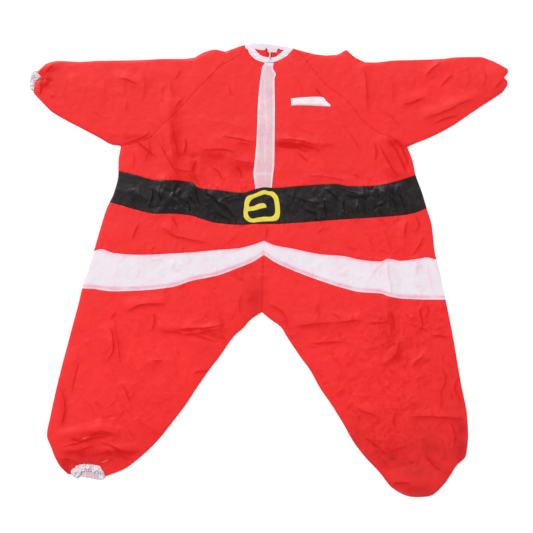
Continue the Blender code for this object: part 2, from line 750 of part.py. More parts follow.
def rounded(corners, radius, steps, between):
    """A loop through some corners, each rounded off, with points between them on the straights."""
    corners = np.asarray(corners, float)
    loop = []
    for i, corner in enumerate(corners):
        before, after = corners[i - 1], corners[(i + 1) % len(corners)]
        reach_in = min(radius, CORNER_SHARE * np.linalg.norm(before - corner))
        reach_out = min(radius, CORNER_SHARE * np.linalg.norm(after - corner))
        start = corner + (before - corner) / np.linalg.norm(before - corner) * reach_in
        stop = corner + (after - corner) / np.linalg.norm(after - corner) * reach_out
        for t in np.linspace(0, 1, steps + 1):
            loop.append((1 - t)**2 * start + 2 * t * (1 - t) * corner + t**2 * stop)
        for t in np.linspace(0, 1, between + 2)[1:-1]:
            end = after + (corner - after) / np.linalg.norm(corner - after) * reach_out
            loop.append(stop + (end - stop) * t)
    return place(np.array(loop))


def build_fronts():
    """The two fronts of the bodice, from the raglan seams and the collar to the belt."""
    made = {}
    for side in ("right", "left"):
        sign = -1 if side == "right" else 1
        top = np.vstack([raglan(side), neck_seam(side)[1:]])
        side_top = top[0, 1]
        belt = half_seam(BELT, "top", side, BELT_MIDDLE + sign * FRONT_EDGE)
        start = side_line(BODY_SIDES, side, side_top, belt[0, 1], BODICE_ROWS)
        start[0], start[-1] = top[0], belt[0]
        ups = np.linspace(top[-1, 1], belt[-1, 1], BODICE_ROWS + 1)
        end = np.column_stack([zip_across(ups) + sign * FRONT_EDGE, ups])
        top[-1] = end[0]
        grid = place(patch(top, belt, start, end))
        grid = drawn_in(grid, top=HALF_GAP, bottom=HALF_GAP, end=HALF_GAP)
        made[side] = sheet(f"front_bodice_{side}", grid, front_under(grid), CLOTH, RED_TAFFETA)
    return made


def build_sleeves():
    """The raglan sleeves: each a tube pressed flat, from its cuff to the raglan seam."""
    for side in ("right", "left"):
        cuff_end = RIGHT_SLEEVE_END if side == "right" else LEFT_SLEEVE_END
        cuff = smooth_line(cuff_end, RAGLAN_COLUMNS)
        seam = raglan(side)
        under = sleeve_line(SLEEVE_UNDERSIDES, side, abs(cuff[0, 0]), UNDERARM_OUT[side], SLEEVE_RINGS)
        over = sleeve_line(SLEEVE_TOPS, side, abs(cuff[-1, 0]), NECK_OUT, SLEEVE_RINGS)
        under[0], under[-1] = cuff[0], seam[0]
        over[0], seam[-1] = cuff[-1], over[-1]
        grid = place(patch(cuff, seam, under, over))
        grid = drawn_in(grid, top=HALF_GAP, bottom=HALF_GAP)
        rise = front_under(grid)
        flat_tube(f"sleeve_{side}", grid, grid, rise, 0.0, RED_TAFFETA)


def build_back_bodice():
    """The back of the bodice, cut in one, from one raglan seam over the back neck to the other."""
    top = np.vstack([raglan("right"), smooth_line(BACK_COLLAR_SEAM, BACK_NECK_COLUMNS),
                     raglan("left")[::-1]])
    right, left = side_of_seam(BELT, "top", "right"), side_of_seam(BELT, "top", "left")
    bottom = smooth_line([right, left], len(top) - 1)
    start = side_line(BODY_SIDES, "right", top[0, 1], right[1], BACK_BODICE_ROWS)
    end = side_line(BODY_SIDES, "left", top[-1, 1], left[1], BACK_BODICE_ROWS)
    start[0], start[-1], end[0], end[-1] = top[0], bottom[0], top[-1], bottom[-1]
    grid = place(patch(top, bottom, start, end))
    grid = drawn_in(grid, top=HALF_GAP, bottom=HALF_GAP)
    return sheet("back_bodice", grid, np.zeros(grid.shape[:2]), CLOTH, RED_TAFFETA)


def build_front_bands():
    """The belt and the skirt on the front, then the hem band in two halves."""
    belt_top, belt_bottom = whole_seam(BELT, "top"), whole_seam(BELT, "bottom")
    hem_top = whole_seam(HEM, "top")
    made = {}
    for name, top, bottom, rows, finish in (
            ("belt_front", belt_top, belt_bottom, BELT_ROWS, BLACK_BELTING),
            ("skirt_front", belt_bottom, hem_top, SKIRT_ROWS, RED_TAFFETA)):
        start = side_line(BODY_SIDES, "right", top[0, 1], bottom[0, 1], rows)
        end = side_line(BODY_SIDES, "left", top[-1, 1], bottom[-1, 1], rows)
        grid = place(patch(top, bottom, start, end))
        grid = drawn_in(grid, top=HALF_GAP, bottom=HALF_GAP)
        made[name] = sheet(name, grid, front_under(grid), CLOTH, finish)
    for side in ("right", "left"):
        top, bottom = parted_seam("top", side), parted_seam("bottom", side)
        start = side_line(BODY_SIDES, side, top[0, 1], bottom[0, 1], HEM_ROWS)
        end = smooth_line([top[-1], bottom[-1]], HEM_ROWS)
        grid = place(patch(top, bottom, start, end))
        grid = drawn_in(grid, top=HALF_GAP, bottom=HALF_GAP, end=HALF_GAP)
        sheet(f"hem_band_front_{side}", grid, front_under(grid), CLOTH, WHITE_TAFFETA)
    return made


def gathers(shape):
    """Gathers that run into an elastic cuff at the last row of a grid."""
    across = np.linspace(0, 1, shape[1])[None, :]
    down = np.linspace(0, 1, shape[0])[:, None]
    waves = 0.5 - 0.5 * np.cos(2 * math.pi * GATHERS * across)
    return GATHER_HEIGHT * waves * np.exp(-(1 - down) / GATHER_REACH)


def build_front_legs():
    """The fronts of the legs. The right one is gathered into its cuff."""
    for side in ("right", "left"):
        top, bottom = parted_seam("bottom", side), leg_end(side)
        start, end = leg_side(side, top[0, 1]), inner_leg(side, top[-1, 1], LEG_ROWS)
        start[0], start[-1], end[0], end[-1] = top[0], bottom[0], top[-1], bottom[-1]
        grid = place(patch(top, bottom, start, end))
        grid = drawn_in(grid, top=HALF_GAP, end=HALF_GAP, bottom=HALF_GAP)
        rise = front_under(grid)
        if side == "right":
            rise += gathers(rise.shape)
        sheet(f"leg_front_{side}", grid, rise, CLOTH, RED_TAFFETA)


def build_back_bands():
    """The belt, skirt, hem band and legs of the back, with straight seams across."""
    corner = {(name, edge, side): np.array(side_of_seam(table, edge, side))
              for name, table in (("belt", BELT), ("hem", HEM))
              for edge in ("top", "bottom") for side in ("right", "left")}
    peak = {edge: np.array([HEM_PEAK, read(column(HEM, "across"), column(HEM, edge), HEM_PEAK)])
            for edge in ("top", "bottom")}

    def back_piece(name, top, bottom, start, end, finish, inner_gap=0.0):
        start[0], start[-1], end[0], end[-1] = top[0], bottom[0], top[-1], bottom[-1]
        grid = drawn_in(place(patch(top, bottom, start, end)), top=HALF_GAP, bottom=HALF_GAP, end=inner_gap)
        sheet(name, grid, np.zeros(grid.shape[:2]), CLOTH, finish)

    def across_back(right, left, middle=None):
        """A back seam from side to side, with its middle on the crotch seam."""
        middle = (right + left) / 2 if middle is None else middle
        return np.vstack([smooth_line([right, middle], BACK_COLUMNS),
                          smooth_line([middle, left], BACK_COLUMNS)[1:]])

    belt_top = across_back(corner["belt", "top", "right"], corner["belt", "top", "left"])
    belt_bottom = across_back(corner["belt", "bottom", "right"], corner["belt", "bottom", "left"])
    hem_top = across_back(corner["hem", "top", "right"], corner["hem", "top", "left"], peak["top"])
    for name, top, bottom, rows, finish in (("belt_back", belt_top, belt_bottom, 2, BLACK_BELTING),
                                            ("skirt_back", belt_bottom, hem_top, 2, RED_TAFFETA)):
        back_piece(name, top, bottom, side_line(BODY_SIDES, "right", top[0, 1], bottom[0, 1], rows),
                   side_line(BODY_SIDES, "left", top[-1, 1], bottom[-1, 1], rows), finish)
    for side in ("right", "left"):
        top = smooth_line([corner["hem", "top", side], peak["top"]], BACK_COLUMNS)
        bottom = smooth_line([corner["hem", "bottom", side], peak["bottom"]], BACK_COLUMNS)
        back_piece(f"hem_band_back_{side}", top, bottom,
                   side_line(BODY_SIDES, side, top[0, 1], bottom[0, 1], 2),
                   smooth_line([top[-1], bottom[-1]], 2), WHITE_TAFFETA, HALF_GAP)
        rows = BACK_LEG_ROWS
        outer = side_line(BODY_SIDES, side, bottom[0, 1], LEG_SIDE_END[side], rows)
        inner = inner_leg(side, bottom[-1, 1], rows)
        foot = smooth_line([outer[-1], inner[-1]] if side == "right" else LEFT_LEG_END[::-1], BACK_COLUMNS)
        back_piece(f"leg_back_{side}", bottom, foot, outer, inner, RED_TAFFETA, HALF_GAP)


def build_collar():
    """The collar band, round the neck from one side of the zip to the other."""
    right_seam, left_seam = neck_seam("right")[::-1], neck_seam("left")
    right_free = smooth_line(FRONT_COLLAR_FREE_RIGHT[::-1], NECK_COLUMNS)
    left_free = smooth_line(FRONT_COLLAR_FREE_LEFT, NECK_COLUMNS)
    outer_back = smooth_line(BACK_COLLAR_FREE, BACK_NECK_COLUMNS)
    inner_back = smooth_line(BACK_COLLAR_SEAM, BACK_NECK_COLUMNS)
    outside = np.vstack([right_seam, outer_back, left_seam])
    inside = np.vstack([right_free, inner_back, left_free])
    inside = np.delete(inside, [NECK_COLUMNS + 1, NECK_COLUMNS + BACK_NECK_COLUMNS + 1], axis=0)
    outside = np.delete(outside, [NECK_COLUMNS + 1, NECK_COLUMNS + BACK_NECK_COLUMNS + 1], axis=0)
    for line in (outside, inside):
        line[0, 0] = zip_across(line[0, 1]) - FRONT_EDGE
        line[-1, 0] = zip_across(line[-1, 1]) + FRONT_EDGE
    share = np.linspace(0, 1, 4)[:, None, None]
    grid = place((1 - share) * outside[None] + share * inside[None])
    grid = drawn_in(grid, top=HALF_GAP, bottom=HALF_GAP, start=HALF_GAP, end=HALF_GAP)
    level = np.full(grid.shape[:2], BACK_TOP + SEAM_GAP)
    level[:, NECK_COLUMNS + 1:-NECK_COLUMNS - 1] = 0.0
    return sheet("neck_band", grid, level, CLOTH, WHITE_TAFFETA)


def build_zip():
    """The closed zip between the two fronts, from the free edge of the collar to the belt."""
    ups = np.linspace(ZIP_TOP, seam_up(BELT, "top", "right", BELT_MIDDLE), 2 * BODICE_ROWS)
    middle = place(np.column_stack([zip_across(ups), ups]))
    half = ZIP_WIDTH / 2 - HALF_GAP
    grid = np.stack([middle - (half, 0), middle + (half, 0)], axis=1)
    grid = drawn_in(grid, bottom=SEAM_GAP)
    return sheet("zip_tape", grid, front_under(grid), CLOTH, ZIP_CLOTH)


def block(name, low, high, finish):
    """A plain box between two corners."""
    verts = [(x, y, z) for z in (low[2], high[2]) for y in (low[1], high[1]) for x in (low[0], high[0])]
    faces = [(0, 2, 3, 1), (4, 5, 7, 6), (0, 1, 5, 4), (2, 6, 7, 3), (0, 4, 6, 2), (1, 3, 7, 5)]
    return add_object(name, verts, faces, finish)


def prism(name, outline_points, axis, low, high, finish):
    """An outline drawn across an axis and extruded along it."""
    def at(point, depth):
        return (depth, *point) if axis == "X" else (*point, depth)

    count = len(outline_points)
    verts = [at(p, low) for p in outline_points] + [at(p, high) for p in outline_points]
    faces = [tuple(range(count)), tuple(range(2 * count - 1, count - 1, -1))]
    faces += [(i, (i + 1) % count, (i + 1) % count + count, i + count) for i in range(count)]
    return add_object(name, verts, faces, finish)


def joined(base, tool):
    """Unite two solids and keep the first."""
    union = base.modifiers.new("union", "BOOLEAN")
    union.operation = "UNION"
    union.solver = "EXACT"
    union.object = tool
    tool.hide_render = True
    tool.display_type = "WIRE"
    return base


def build_slider(zip_tape):
    """The slider with its bridge, and the pull tab that turns on a pin under the bridge."""
    x, y = place([(zip_across(SLIDER_MIDDLE_UP), SLIDER_MIDDLE_UP)])[0]
    width, length, height = SLIDER_SIZE
    reach = width / 2
    floor = height_on(surface_of(zip_tape), [(x, y), (x, y - length / 2)], reach).max() + SEAM_GAP
    top = floor + height
    body = block("zip_slider", (x - width / 2, y - length / 2, floor), (x + width / 2, y + length / 2, top),
                 ZIP_METAL)
    axis_height = top + PULL_CLEARANCE + PULL_PIN_RADIUS
    inside, rise = BRIDGE_INSIDE
    half, sunk = inside / 2, top - height / 2
    crown = top + rise + BRIDGE_POST
    arch = [(y - half - BRIDGE_POST, sunk), (y - half, sunk), (y - half, top + rise), (y + half, top + rise),
            (y + half, sunk), (y + half + BRIDGE_POST, sunk), (y + half + BRIDGE_POST, crown),
            (y - half - BRIDGE_POST, crown)]
    bridge = prism("slider_bridge", arch, "X", x - BRIDGE_WIDTH / 2, x + BRIDGE_WIDTH / 2, ZIP_METAL)
    joined(body, bridge)

    hinge = bpy.data.objects.new("pull_hinge", None)
    hinge.location = (x, y, axis_height)
    bpy.context.collection.objects.link(hinge)
    outer, ring = PULL_WIDTH / 2, BRIDGE_WIDTH / 2 + PULL_CLEARANCE
    tip = PULL_LENGTH - outer
    fork = [(-outer, 0), (-outer, tip)]
    fork += [(-outer * math.cos(a), tip + outer * math.sin(a)) for a in np.linspace(0, math.pi, 9)[1:-1]]
    fork += [(outer, tip), (outer, 0), (ring, 0)]
    fork += [(ring, PULL_RING_INSIDE), (-ring, PULL_RING_INSIDE), (-ring, 0)]
    pull = prism("zip_pull", fork, "Z", -PULL_THICKNESS / 2, PULL_THICKNESS / 2, ZIP_METAL)
    circle = [(PULL_PIN_RADIUS * math.cos(a), PULL_PIN_RADIUS * math.sin(a))
              for a in np.linspace(0, 2 * math.pi, PIN_SIDES + 1)[:-1]]
    pin = prism("pull_pin", circle, "X", -outer, outer, ZIP_METAL)
    joined(pull, pin)
    pull.parent = hinge
    pin.parent = hinge


def finer(line, steps):
    """Each stretch of a line parted into equal steps."""
    points = []
    for start, stop in zip(line[:-1], line[1:]):
        points += [start + (stop - start) * k / steps for k in range(steps)]
    return np.vstack(points + [line[-1]])


def build_cuff(name, seam_front, seam_back, edge_front, edge_back, ruffles, base):
    """An elastic cuff as a short tube pressed flat, with that many ruffles along its front edge."""
    lines = [finer(line, STEPS_PER_COLUMN) for line in (seam_front, seam_back, edge_front, edge_back)]
    share = np.array([0.0, 0.5, 1.0])[:, None, None]
    front = drawn_in(place((1 - share) * lines[0][None] + share * lines[2][None]), top=SEAM_GAP)
    back = drawn_in(place((1 - share) * lines[1][None] + share * lines[3][None]), top=SEAM_GAP)
    ends = (front[:, [0, -1]] + back[:, [0, -1]]) / 2
    front[:, [0, -1]] = ends
    back[:, [0, -1]] = ends
    along = np.linspace(0, 1, front.shape[1])[None, :]
    down = np.linspace(RUFFLE_AT_SEAM, 1, front.shape[0])[:, None]
    waves = 0.5 - 0.5 * np.cos(2 * math.pi * ruffles * along)
    rise = base + CLOTH + SEAM_GAP + RUFFLE_HEIGHT * down * waves
    return flat_tube(name, front, back, rise, base, WHITE_ELASTIC)


def cuff_edge(table, read_by, name, where):
    """The outer edge of a cuff, read from its table."""
    return read(column(table, read_by), column(table, name), where)


def build_cuffs():
    """The four elastic cuffs: two that show, and two that are turned in."""
    seam = leg_end("right")
    back_seam = smooth_line([seam[0], seam[-1]], len(seam) - 1)
    across = np.linspace(ANKLE_CUFF[0].across, ANKLE_CUFF[-1].across, len(seam))
    edges = [np.column_stack([across, cuff_edge(ANKLE_CUFF, "across", name, across)])
             for name in ("front_edge", "back_edge")]
    build_cuff("ankle_cuff_right", seam, back_seam, *edges, ANKLE_RUFFLES, 0.0)

    seam = smooth_line(RIGHT_SLEEVE_END, RAGLAN_COLUMNS)
    ups = np.linspace(WRIST_CUFF[0].up, WRIST_CUFF[-1].up, len(seam))
    edges = [np.column_stack([cuff_edge(WRIST_CUFF, "up", name, ups), ups])
             for name in ("front_edge", "back_edge")]
    build_cuff("wrist_cuff_right", seam, seam, *edges, WRIST_RUFFLES, 0.0)

    for cuff in HIDDEN_CUFFS:
        turn = math.radians(cuff.turn)
        middle, along = np.array([cuff.across, cuff.up]), np.array([math.cos(turn), math.sin(turn)])
        seam = smooth_line([middle - cuff.half_width * along, middle + cuff.half_width * along],
                           HIDDEN_CUFF_COLUMNS)
        edge = seam + np.array([-along[1], along[0]]) * cuff.height
        build_cuff(cuff.name, seam, seam, edge, edge, 0, BACK_TOP + SEAM_GAP)


def build_trims(fronts, bands, zip_tape, back):
    """What lies on the panels: placket, pocket welt, buckle and neck label."""
    ups = np.linspace(PLACKET[0].up, PLACKET[-1].up, PLACKET_ROWS + 1)
    right = read(column(PLACKET, "up"), column(PLACKET, "right"), ups)
    left = read(column(PLACKET, "up"), column(PLACKET, "left"), ups)
    share = np.linspace(0, 1, PLACKET_COLUMNS + 1)[None, :]
    across = right[:, None] * (1 - share) + left[:, None] * share
    grid = place(np.dstack([across, np.broadcast_to(ups[:, None], across.shape)]))
    below = surface_of(fronts["right"], fronts["left"], zip_tape)
    under = height_on(below, grid.reshape(-1, 2), PLACKET_REACH).reshape(grid.shape[:2]) + SEAM_GAP
    sheet("placket", grid, under, CLOTH, SHEER_WHITE)

    welt = rounded(POCKET_WELT, POCKET_CORNER, 1, 0)
    cut_out("pocket_welt", [welt], surface_of(fronts["left"]), CLOTH, WELT_REACH, SHEER_WHITE)
    label = rounded(NECK_LABEL, LABEL_CORNER, 1, 0)
    cut_out("neck_label", [label], surface_of(back), CLOTH, LABEL_REACH, WHITE_TAFFETA)
    outside = rounded(BUCKLE_OUTSIDE, BUCKLE_CORNER, 3, 2)
    inside = rounded(BUCKLE_INSIDE, BUCKLE_INNER_CORNER, 2, 2)
    cut_out("belt_buckle", [outside, inside], surface_of(bands["belt_front"]), BUCKLE_THICKNESS, BUCKLE_REACH,
            YELLOW_FELT)


fronts = build_fronts()
build_sleeves()
back = build_back_bodice()
bands = build_front_bands()
build_back_bands()
build_front_legs()
build_collar()
zip_tape = build_zip()
build_slider(zip_tape)
build_cuffs()
build_trims(fronts, bands, zip_tape, back)
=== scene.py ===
from collections import namedtuple
import math

import bmesh
import bpy
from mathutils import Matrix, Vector
from mathutils.kdtree import KDTree
import numpy as np


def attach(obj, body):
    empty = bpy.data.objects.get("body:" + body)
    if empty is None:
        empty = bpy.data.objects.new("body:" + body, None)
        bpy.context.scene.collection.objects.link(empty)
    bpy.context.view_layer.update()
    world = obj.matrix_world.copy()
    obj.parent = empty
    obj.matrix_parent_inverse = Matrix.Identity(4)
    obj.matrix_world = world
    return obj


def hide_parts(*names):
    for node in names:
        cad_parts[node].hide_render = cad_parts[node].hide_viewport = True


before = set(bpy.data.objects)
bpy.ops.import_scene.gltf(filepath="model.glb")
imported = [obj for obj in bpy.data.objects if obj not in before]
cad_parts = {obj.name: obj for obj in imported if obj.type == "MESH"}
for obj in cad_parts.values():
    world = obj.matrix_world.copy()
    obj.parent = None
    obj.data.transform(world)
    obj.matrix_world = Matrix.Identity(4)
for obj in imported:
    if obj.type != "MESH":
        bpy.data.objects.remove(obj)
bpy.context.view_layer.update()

# The back of the bodice.
# One piece of thin red taffeta with raglan armholes, sewn to the sleeves, the collar and the belt. It lies on
# the floor under the fronts. The drawing of the suit's seams, on squared paper, begins here.

SUIT_WIDTH = 1.625          # from one cuff to the other
SQUARES_ACROSS = 478        # the drawing is this many squares wide
SQUARE = SUIT_WIDTH / SQUARES_ACROSS
DRAWING_MIDDLE = (-0.2, -0.2)   # the middle of the laid suit on the drawing, in squares
CURVE_STEPS = 12            # between two points of a curve
SEAM_SEARCH_STEPS = 40      # to find where a seam meets the side of the body

CLOTH_WALL = 0.0005         # the taffeta with its coating
UNDERSIDE_STEP = 4          # the underside of a piece has one row for this many of its upper face
BACK_STEP = 2               # and on the back layer
CREASE_ANGLE = math.radians(50)
BACK_TOP = 0.00045          # height of the back layer's upper face
BACK_RIPPLE = 0.0006        # how far it lifts off the floor
BACK_CREASE, BACK_CREASE_WIDE = 0.0011, 0.16    # its creases, and their width beside their spacing
BACK_STILL_EDGE = 0.012     # it lies quite flat this near its edge
BACK_RIPPLE_REACH = 0.030
BACK_CREASES = ((0.075, 91), (0.045, 92))       # how far apart they are, and their seeds
Ripple = namedtuple("Ripple", "high size seed")
BACK_RIPPLES = (Ripple(0.6, 0.070, 3), Ripple(0.4, 0.028, 4))
RIM_STEP = 0.004            # a panel's edge is followed in steps of this length
BACK_RAGLAN_COLUMNS, BACK_NECK_COLUMNS, BACK_BODICE_ROWS = 80, 40, 84
INNER_FOLD_SIZE = 0.010     # the size of the patches of painted fold shade inside the neck
FACET_BEND = (0.030, 0.030, 0.030)      # how far the edges of the crumpled cloth's facets bend
SHEEN_ROUGHNESS = 0.4

# The sides of the body and the outer sides of the legs, in squares.
# The right leg ends at its cuff, above the last row.
Sides = namedtuple("Sides", "up right left")
BODY_SIDES = [Sides(*row) for row in (
    (124, -148, 138), (107, -150.5, 144), (97, -150.5, 146), (77, -155, 153), (62, -162, 157.5),
    (45, -167.5, 162.5), (19, -175, 165.5), (0, -180.5, 170), (-19, -187, 174), (-30, -189.5, 176.5),
    (-62, -198, 183), (-114, -211.5, 192), (-146, -218.5, 198), (-165, -222, 199), (-178, -217.5, 198),
    (-186, -214.5, 196.5), (-196, -209, 187), (-204, -201, 182), (-213, -192, 176),
)]

# The raglan seams, by the distance out from the middle line
NECK_OUT = 24               # where the raglan seams reach the collar
UNDERARM_OUT = {"right": 148, "left": 138}
Sleeves = namedtuple("Sleeves", "out right left")
RAGLANS = [Sleeves(*row) for row in (
    (24, 223.5, 221), (33, 212.5, 214), (51, 202, 191.5), (59, 193, 183), (71, 181, 175), (83, 168, 164),
    (92, 158.5, 151.5), (101, 149.5, 143.5), (111, 140, 136.5), (119, 132, 134), (131.5, 128, 126.5),
    (138, 125.5, 123), (148, 124, 120),
)]

# How far up the belt begins and ends, at distances across
Band = namedtuple("Band", "across top bottom")
BELT = [Band(*row) for row in (
    (-159, 101, 67.7), (-150, 99, 65.3), (-133, 95, 60.3), (-112, 89.8, 56.2), (-97, 89.8, 56.2),
    (-77, 87.5, 54.3), (-70, 82.2, 52), (-52, 80, 47), (-26, 77.3, 45), (-14, 80.7, 46), (-4, 82.6, 46),
    (5, 82, 46), (30, 84, 47.3), (66, 86, 50), (81, 83.8, 51), (103, 84.1, 52.3), (119, 86.6, 53.4),
    (135, 91, 55), (147, 95, 57.5), (158, 99, 62.1),
)]
BACK_NECK = ((-14.5, 222.4), (15, 221.3))        # the red cloth ends under the band


def place(points):
    """Turn points of the drawing into metres from the middle of the laid suit."""
    return (np.asarray(points, dtype=float) - DRAWING_MIDDLE) * SQUARE


def slopes(across, values):
    """Slopes for a smooth curve through a table's rows that never swings past a row."""
    steps = np.diff(values) / np.diff(across)
    result = np.empty(len(values))
    result[0], result[-1] = steps[0], steps[-1]
    for row in range(1, len(values) - 1):
        before, after = steps[row - 1], steps[row]
        result[row] = 0.0 if before * after <= 0 else 2 * before * after / (before + after)
    return result


def read(across, values, where):
    """Read a table smoothly between its rows."""
    order = np.argsort(across)
    across, values = np.asarray(across, float)[order], np.asarray(values, float)[order]
    tangents = slopes(across, values)
    where = np.clip(np.asarray(where, float), across[0], across[-1])
    row = np.clip(np.searchsorted(across, where) - 1, 0, len(across) - 2)
    width = across[row + 1] - across[row]
    t = (where - across[row]) / width
    return ((2 * t**3 - 3 * t**2 + 1) * values[row] + (t**3 - 2 * t**2 + t) * width * tangents[row]
            + (3 * t**2 - 2 * t**3) * values[row + 1] + (t**3 - t**2) * width * tangents[row + 1])


def column(table, name):
    return [getattr(row, name) for row in table]


def trace(table, along, what, where):
    """Read one column of a table smoothly at places along another."""
    return read(column(table, along), column(table, what), where)


def smooth_line(points, count):
    """A smooth line through a few points, as count equal stretches."""
    points = np.asarray(points, float)
    if len(points) == 2:
        return points[0] + np.linspace(0, 1, count + 1)[:, None] * (points[1] - points[0])
    ends = np.vstack([2 * points[0] - points[1], points, 2 * points[-1] - points[-2]])
    fine = []
    for i in range(1, len(ends) - 2):
        before, start, stop, after = ends[i - 1:i + 3]
        for t in np.linspace(0, 1, CURVE_STEPS, endpoint=False):
            fine.append(0.5 * (2 * start + (stop - before) * t
                               + (2 * before - 5 * start + 4 * stop - after) * t**2
                               + (3 * start - before - 3 * stop + after) * t**3))
    fine.append(points[-1])
    return even(np.array(fine), count)


def travelled(line):
    """How far along a line each of its points is."""
    return np.concatenate([[0], np.cumsum(np.linalg.norm(np.diff(line, axis=0), axis=1))])


def even(line, count):
    """The same line with its points at equal distances."""
    lengths = travelled(line)
    wanted = np.linspace(0, lengths[-1], count + 1)
    return np.column_stack([np.interp(wanted, lengths, line[:, i]) for i in range(line.shape[1])])


def side_line(table, side, top, bottom, rows):
    """Down one side of the body or of a leg, from one height to another."""
    heights = np.linspace(top, bottom, 8 * rows + 1)
    return even(np.column_stack([trace(table, "up", side, heights), heights]), rows)


def sleeve_line(table, side, start, stop, count):
    """Along a sleeve, between two distances out from the middle."""
    sign = -1 if side == "right" else 1
    outs = np.linspace(start, stop, 12 * count + 1)
    return even(np.column_stack([sign * outs, trace(table, "out", side, outs)]), count)


def seam_up(table, edge, across):
    """How far up a seam across the body runs."""
    return trace(table, "across", edge, across)


def side_of_seam(table, edge, side):
    """Where a seam across the body meets its side, found by going back and forth between the two."""
    across = table[0].across if side == "right" else table[-1].across
    for _ in range(SEAM_SEARCH_STEPS):
        up = seam_up(table, edge, across)
        across = trace(BODY_SIDES, "up", side, up)
    return float(across), float(up)


def patch(top, bottom, start, end):
    """Fill in between four lines: two that run across and two that run down."""
    top, bottom, start, end = (np.asarray(line, float) for line in (top, bottom, start, end))
    u = np.linspace(0, 1, len(top))[None, :, None]
    v = np.linspace(0, 1, len(start))[:, None, None]
    corners = ((1 - u) * (1 - v) * top[0] + u * (1 - v) * top[-1]
               + (1 - u) * v * bottom[0] + u * v * bottom[-1])
    return (1 - v) * top[None] + v * bottom[None] + (1 - u) * start[:, None] + u * end[:, None] - corners


def raglan(side, columns):
    """The raglan seam from the underarm to the neck."""
    return sleeve_line(RAGLANS, side, UNDERARM_OUT[side], NECK_OUT, columns)


def framed(top, bottom, start, end):
    """The grid between four lines in metres, with their corners made to meet."""
    start[0], start[-1], end[0], end[-1] = top[0], bottom[0], top[-1], bottom[-1]
    grid = place(patch(top, bottom, start, end))
    runs_left = np.cross(grid[0, -1] - grid[0, 0], grid[-1, 0] - grid[0, 0]) > 0
    return grid[:, ::-1] if runs_left else grid


LATTICE = 128               # cells before the random heights repeat


def blended(field, i, j, i_next, j_next, t):
    """The value between four places of a square field."""
    low = field[i, j] * (1 - t[:, 0]) + field[i_next, j] * t[:, 0]
    high = field[i, j_next] * (1 - t[:, 0]) + field[i_next, j_next] * t[:, 0]
    return low * (1 - t[:, 1]) + high * t[:, 1]


def value_noise(points, size, seed):
    """Smooth random heights from -1 to 1, with hills about that far apart."""
    lattice = np.random.default_rng(seed).uniform(-1, 1, (LATTICE, LATTICE))
    cell = points / size + LATTICE
    whole = np.floor(cell).astype(int)
    t = cell - whole
    t = t * t * (3 - 2 * t)
    i, j = whole[:, 0] % LATTICE, whole[:, 1] % LATTICE
    return blended(lattice, i, j, (i + 1) % LATTICE, (j + 1) % LATTICE, t)


def rippled(points, ripples):
    """Random heights of several sizes, one on top of the other."""
    return sum(ripple.high * value_noise(points, ripple.size, ripple.seed) for ripple in ripples)


def line_tree(line):
    """A search tree of a line's points."""
    tree = KDTree(len(line))
    for i, (x, y) in enumerate(line):
        tree.insert((x, y, 0.0), i)
    tree.balance()
    return tree


def nearest(tree, points):
    """For each point, the distance to a line and the number of its nearest point there."""
    found = [tree.find((x, y, 0.0)) for x, y in points.tolist()]
    return np.array([f[2] for f in found]), np.array([f[1] for f in found], dtype=int)


def back_top(grid):
    """Height of the back layer's upper face: flat at its edge, and with low creases inside."""
    points = grid.reshape(-1, 2)
    rim = np.vstack([grid[0], grid[:, -1], grid[-1, ::-1], grid[::-1, 0]])
    edge = nearest(line_tree(even(rim, max(int(travelled(rim)[-1] / RIM_STEP), 8))), points)[0]
    inside = np.clip((edge - BACK_STILL_EDGE) / BACK_RIPPLE_REACH, 0, 1)
    creases = np.zeros(len(points))
    for spacing, seed in BACK_CREASES:
        ridge = np.abs(value_noise(points, spacing, seed)) / BACK_CREASE_WIDE
        here = np.clip(0.3 + value_noise(points, 2 * spacing, seed + 7), 0, 1)
        creases = np.maximum(creases, np.exp(-ridge) * here)
    rise = BACK_RIPPLE * np.clip(rippled(points, BACK_RIPPLES), 0, 1) + BACK_CREASE * creases
    return (BACK_TOP + inside * rise).reshape(grid.shape[:2])


def cloth_wall(grid, top, lowest=0.0, wall=CLOTH_WALL, step=UNDERSIDE_STEP):
    """Points and faces of a closed wall of cloth: a fine upper face over a coarser underside."""
    rows, columns = top.shape[0] - 1, top.shape[1] - 1
    upper = np.dstack([grid, top]).reshape(-1, 3)
    around = np.pad(top, step, mode="edge")
    windows = np.lib.stride_tricks.sliding_window_view(around, (2 * step + 1, 2 * step + 1))
    under = np.maximum(windows[::step, ::step].min(axis=(2, 3)) - wall, lowest)
    lower = np.dstack([grid[::step, ::step], under]).reshape(-1, 3)

    def number(r, c):
        return r * (columns + 1) + c

    def low_number(r, c):
        return len(upper) + (r // step) * (columns // step + 1) + c // step

    r, c = np.meshgrid(np.arange(rows), np.arange(columns), indexing="ij")
    r, c = r.ravel(), c.ravel()
    faces = np.column_stack([number(r, c), number(r + 1, c), number(r + 1, c + 1), number(r, c + 1)]).tolist()
    r, c = np.meshgrid(np.arange(0, rows, step), np.arange(0, columns, step), indexing="ij")
    r, c = r.ravel(), c.ravel()
    faces += np.column_stack([low_number(r, c), low_number(r, c + step), low_number(r + step, c + step),
                              low_number(r + step, c)]).tolist()
    rim = ([(0, c) for c in range(columns)] + [(r, columns) for r in range(rows)]
           + [(rows, c) for c in range(columns, 0, -1)] + [(r, 0) for r in range(rows, 0, -1)])
    rim.append(rim[0])
    for i in range(0, len(rim) - 1, step):
        stretch = rim[i:i + step + 1]
        faces.append([number(*p) for p in stretch] + [low_number(*stretch[-1]), low_number(*stretch[0])])
    return np.vstack([upper, lower]), faces


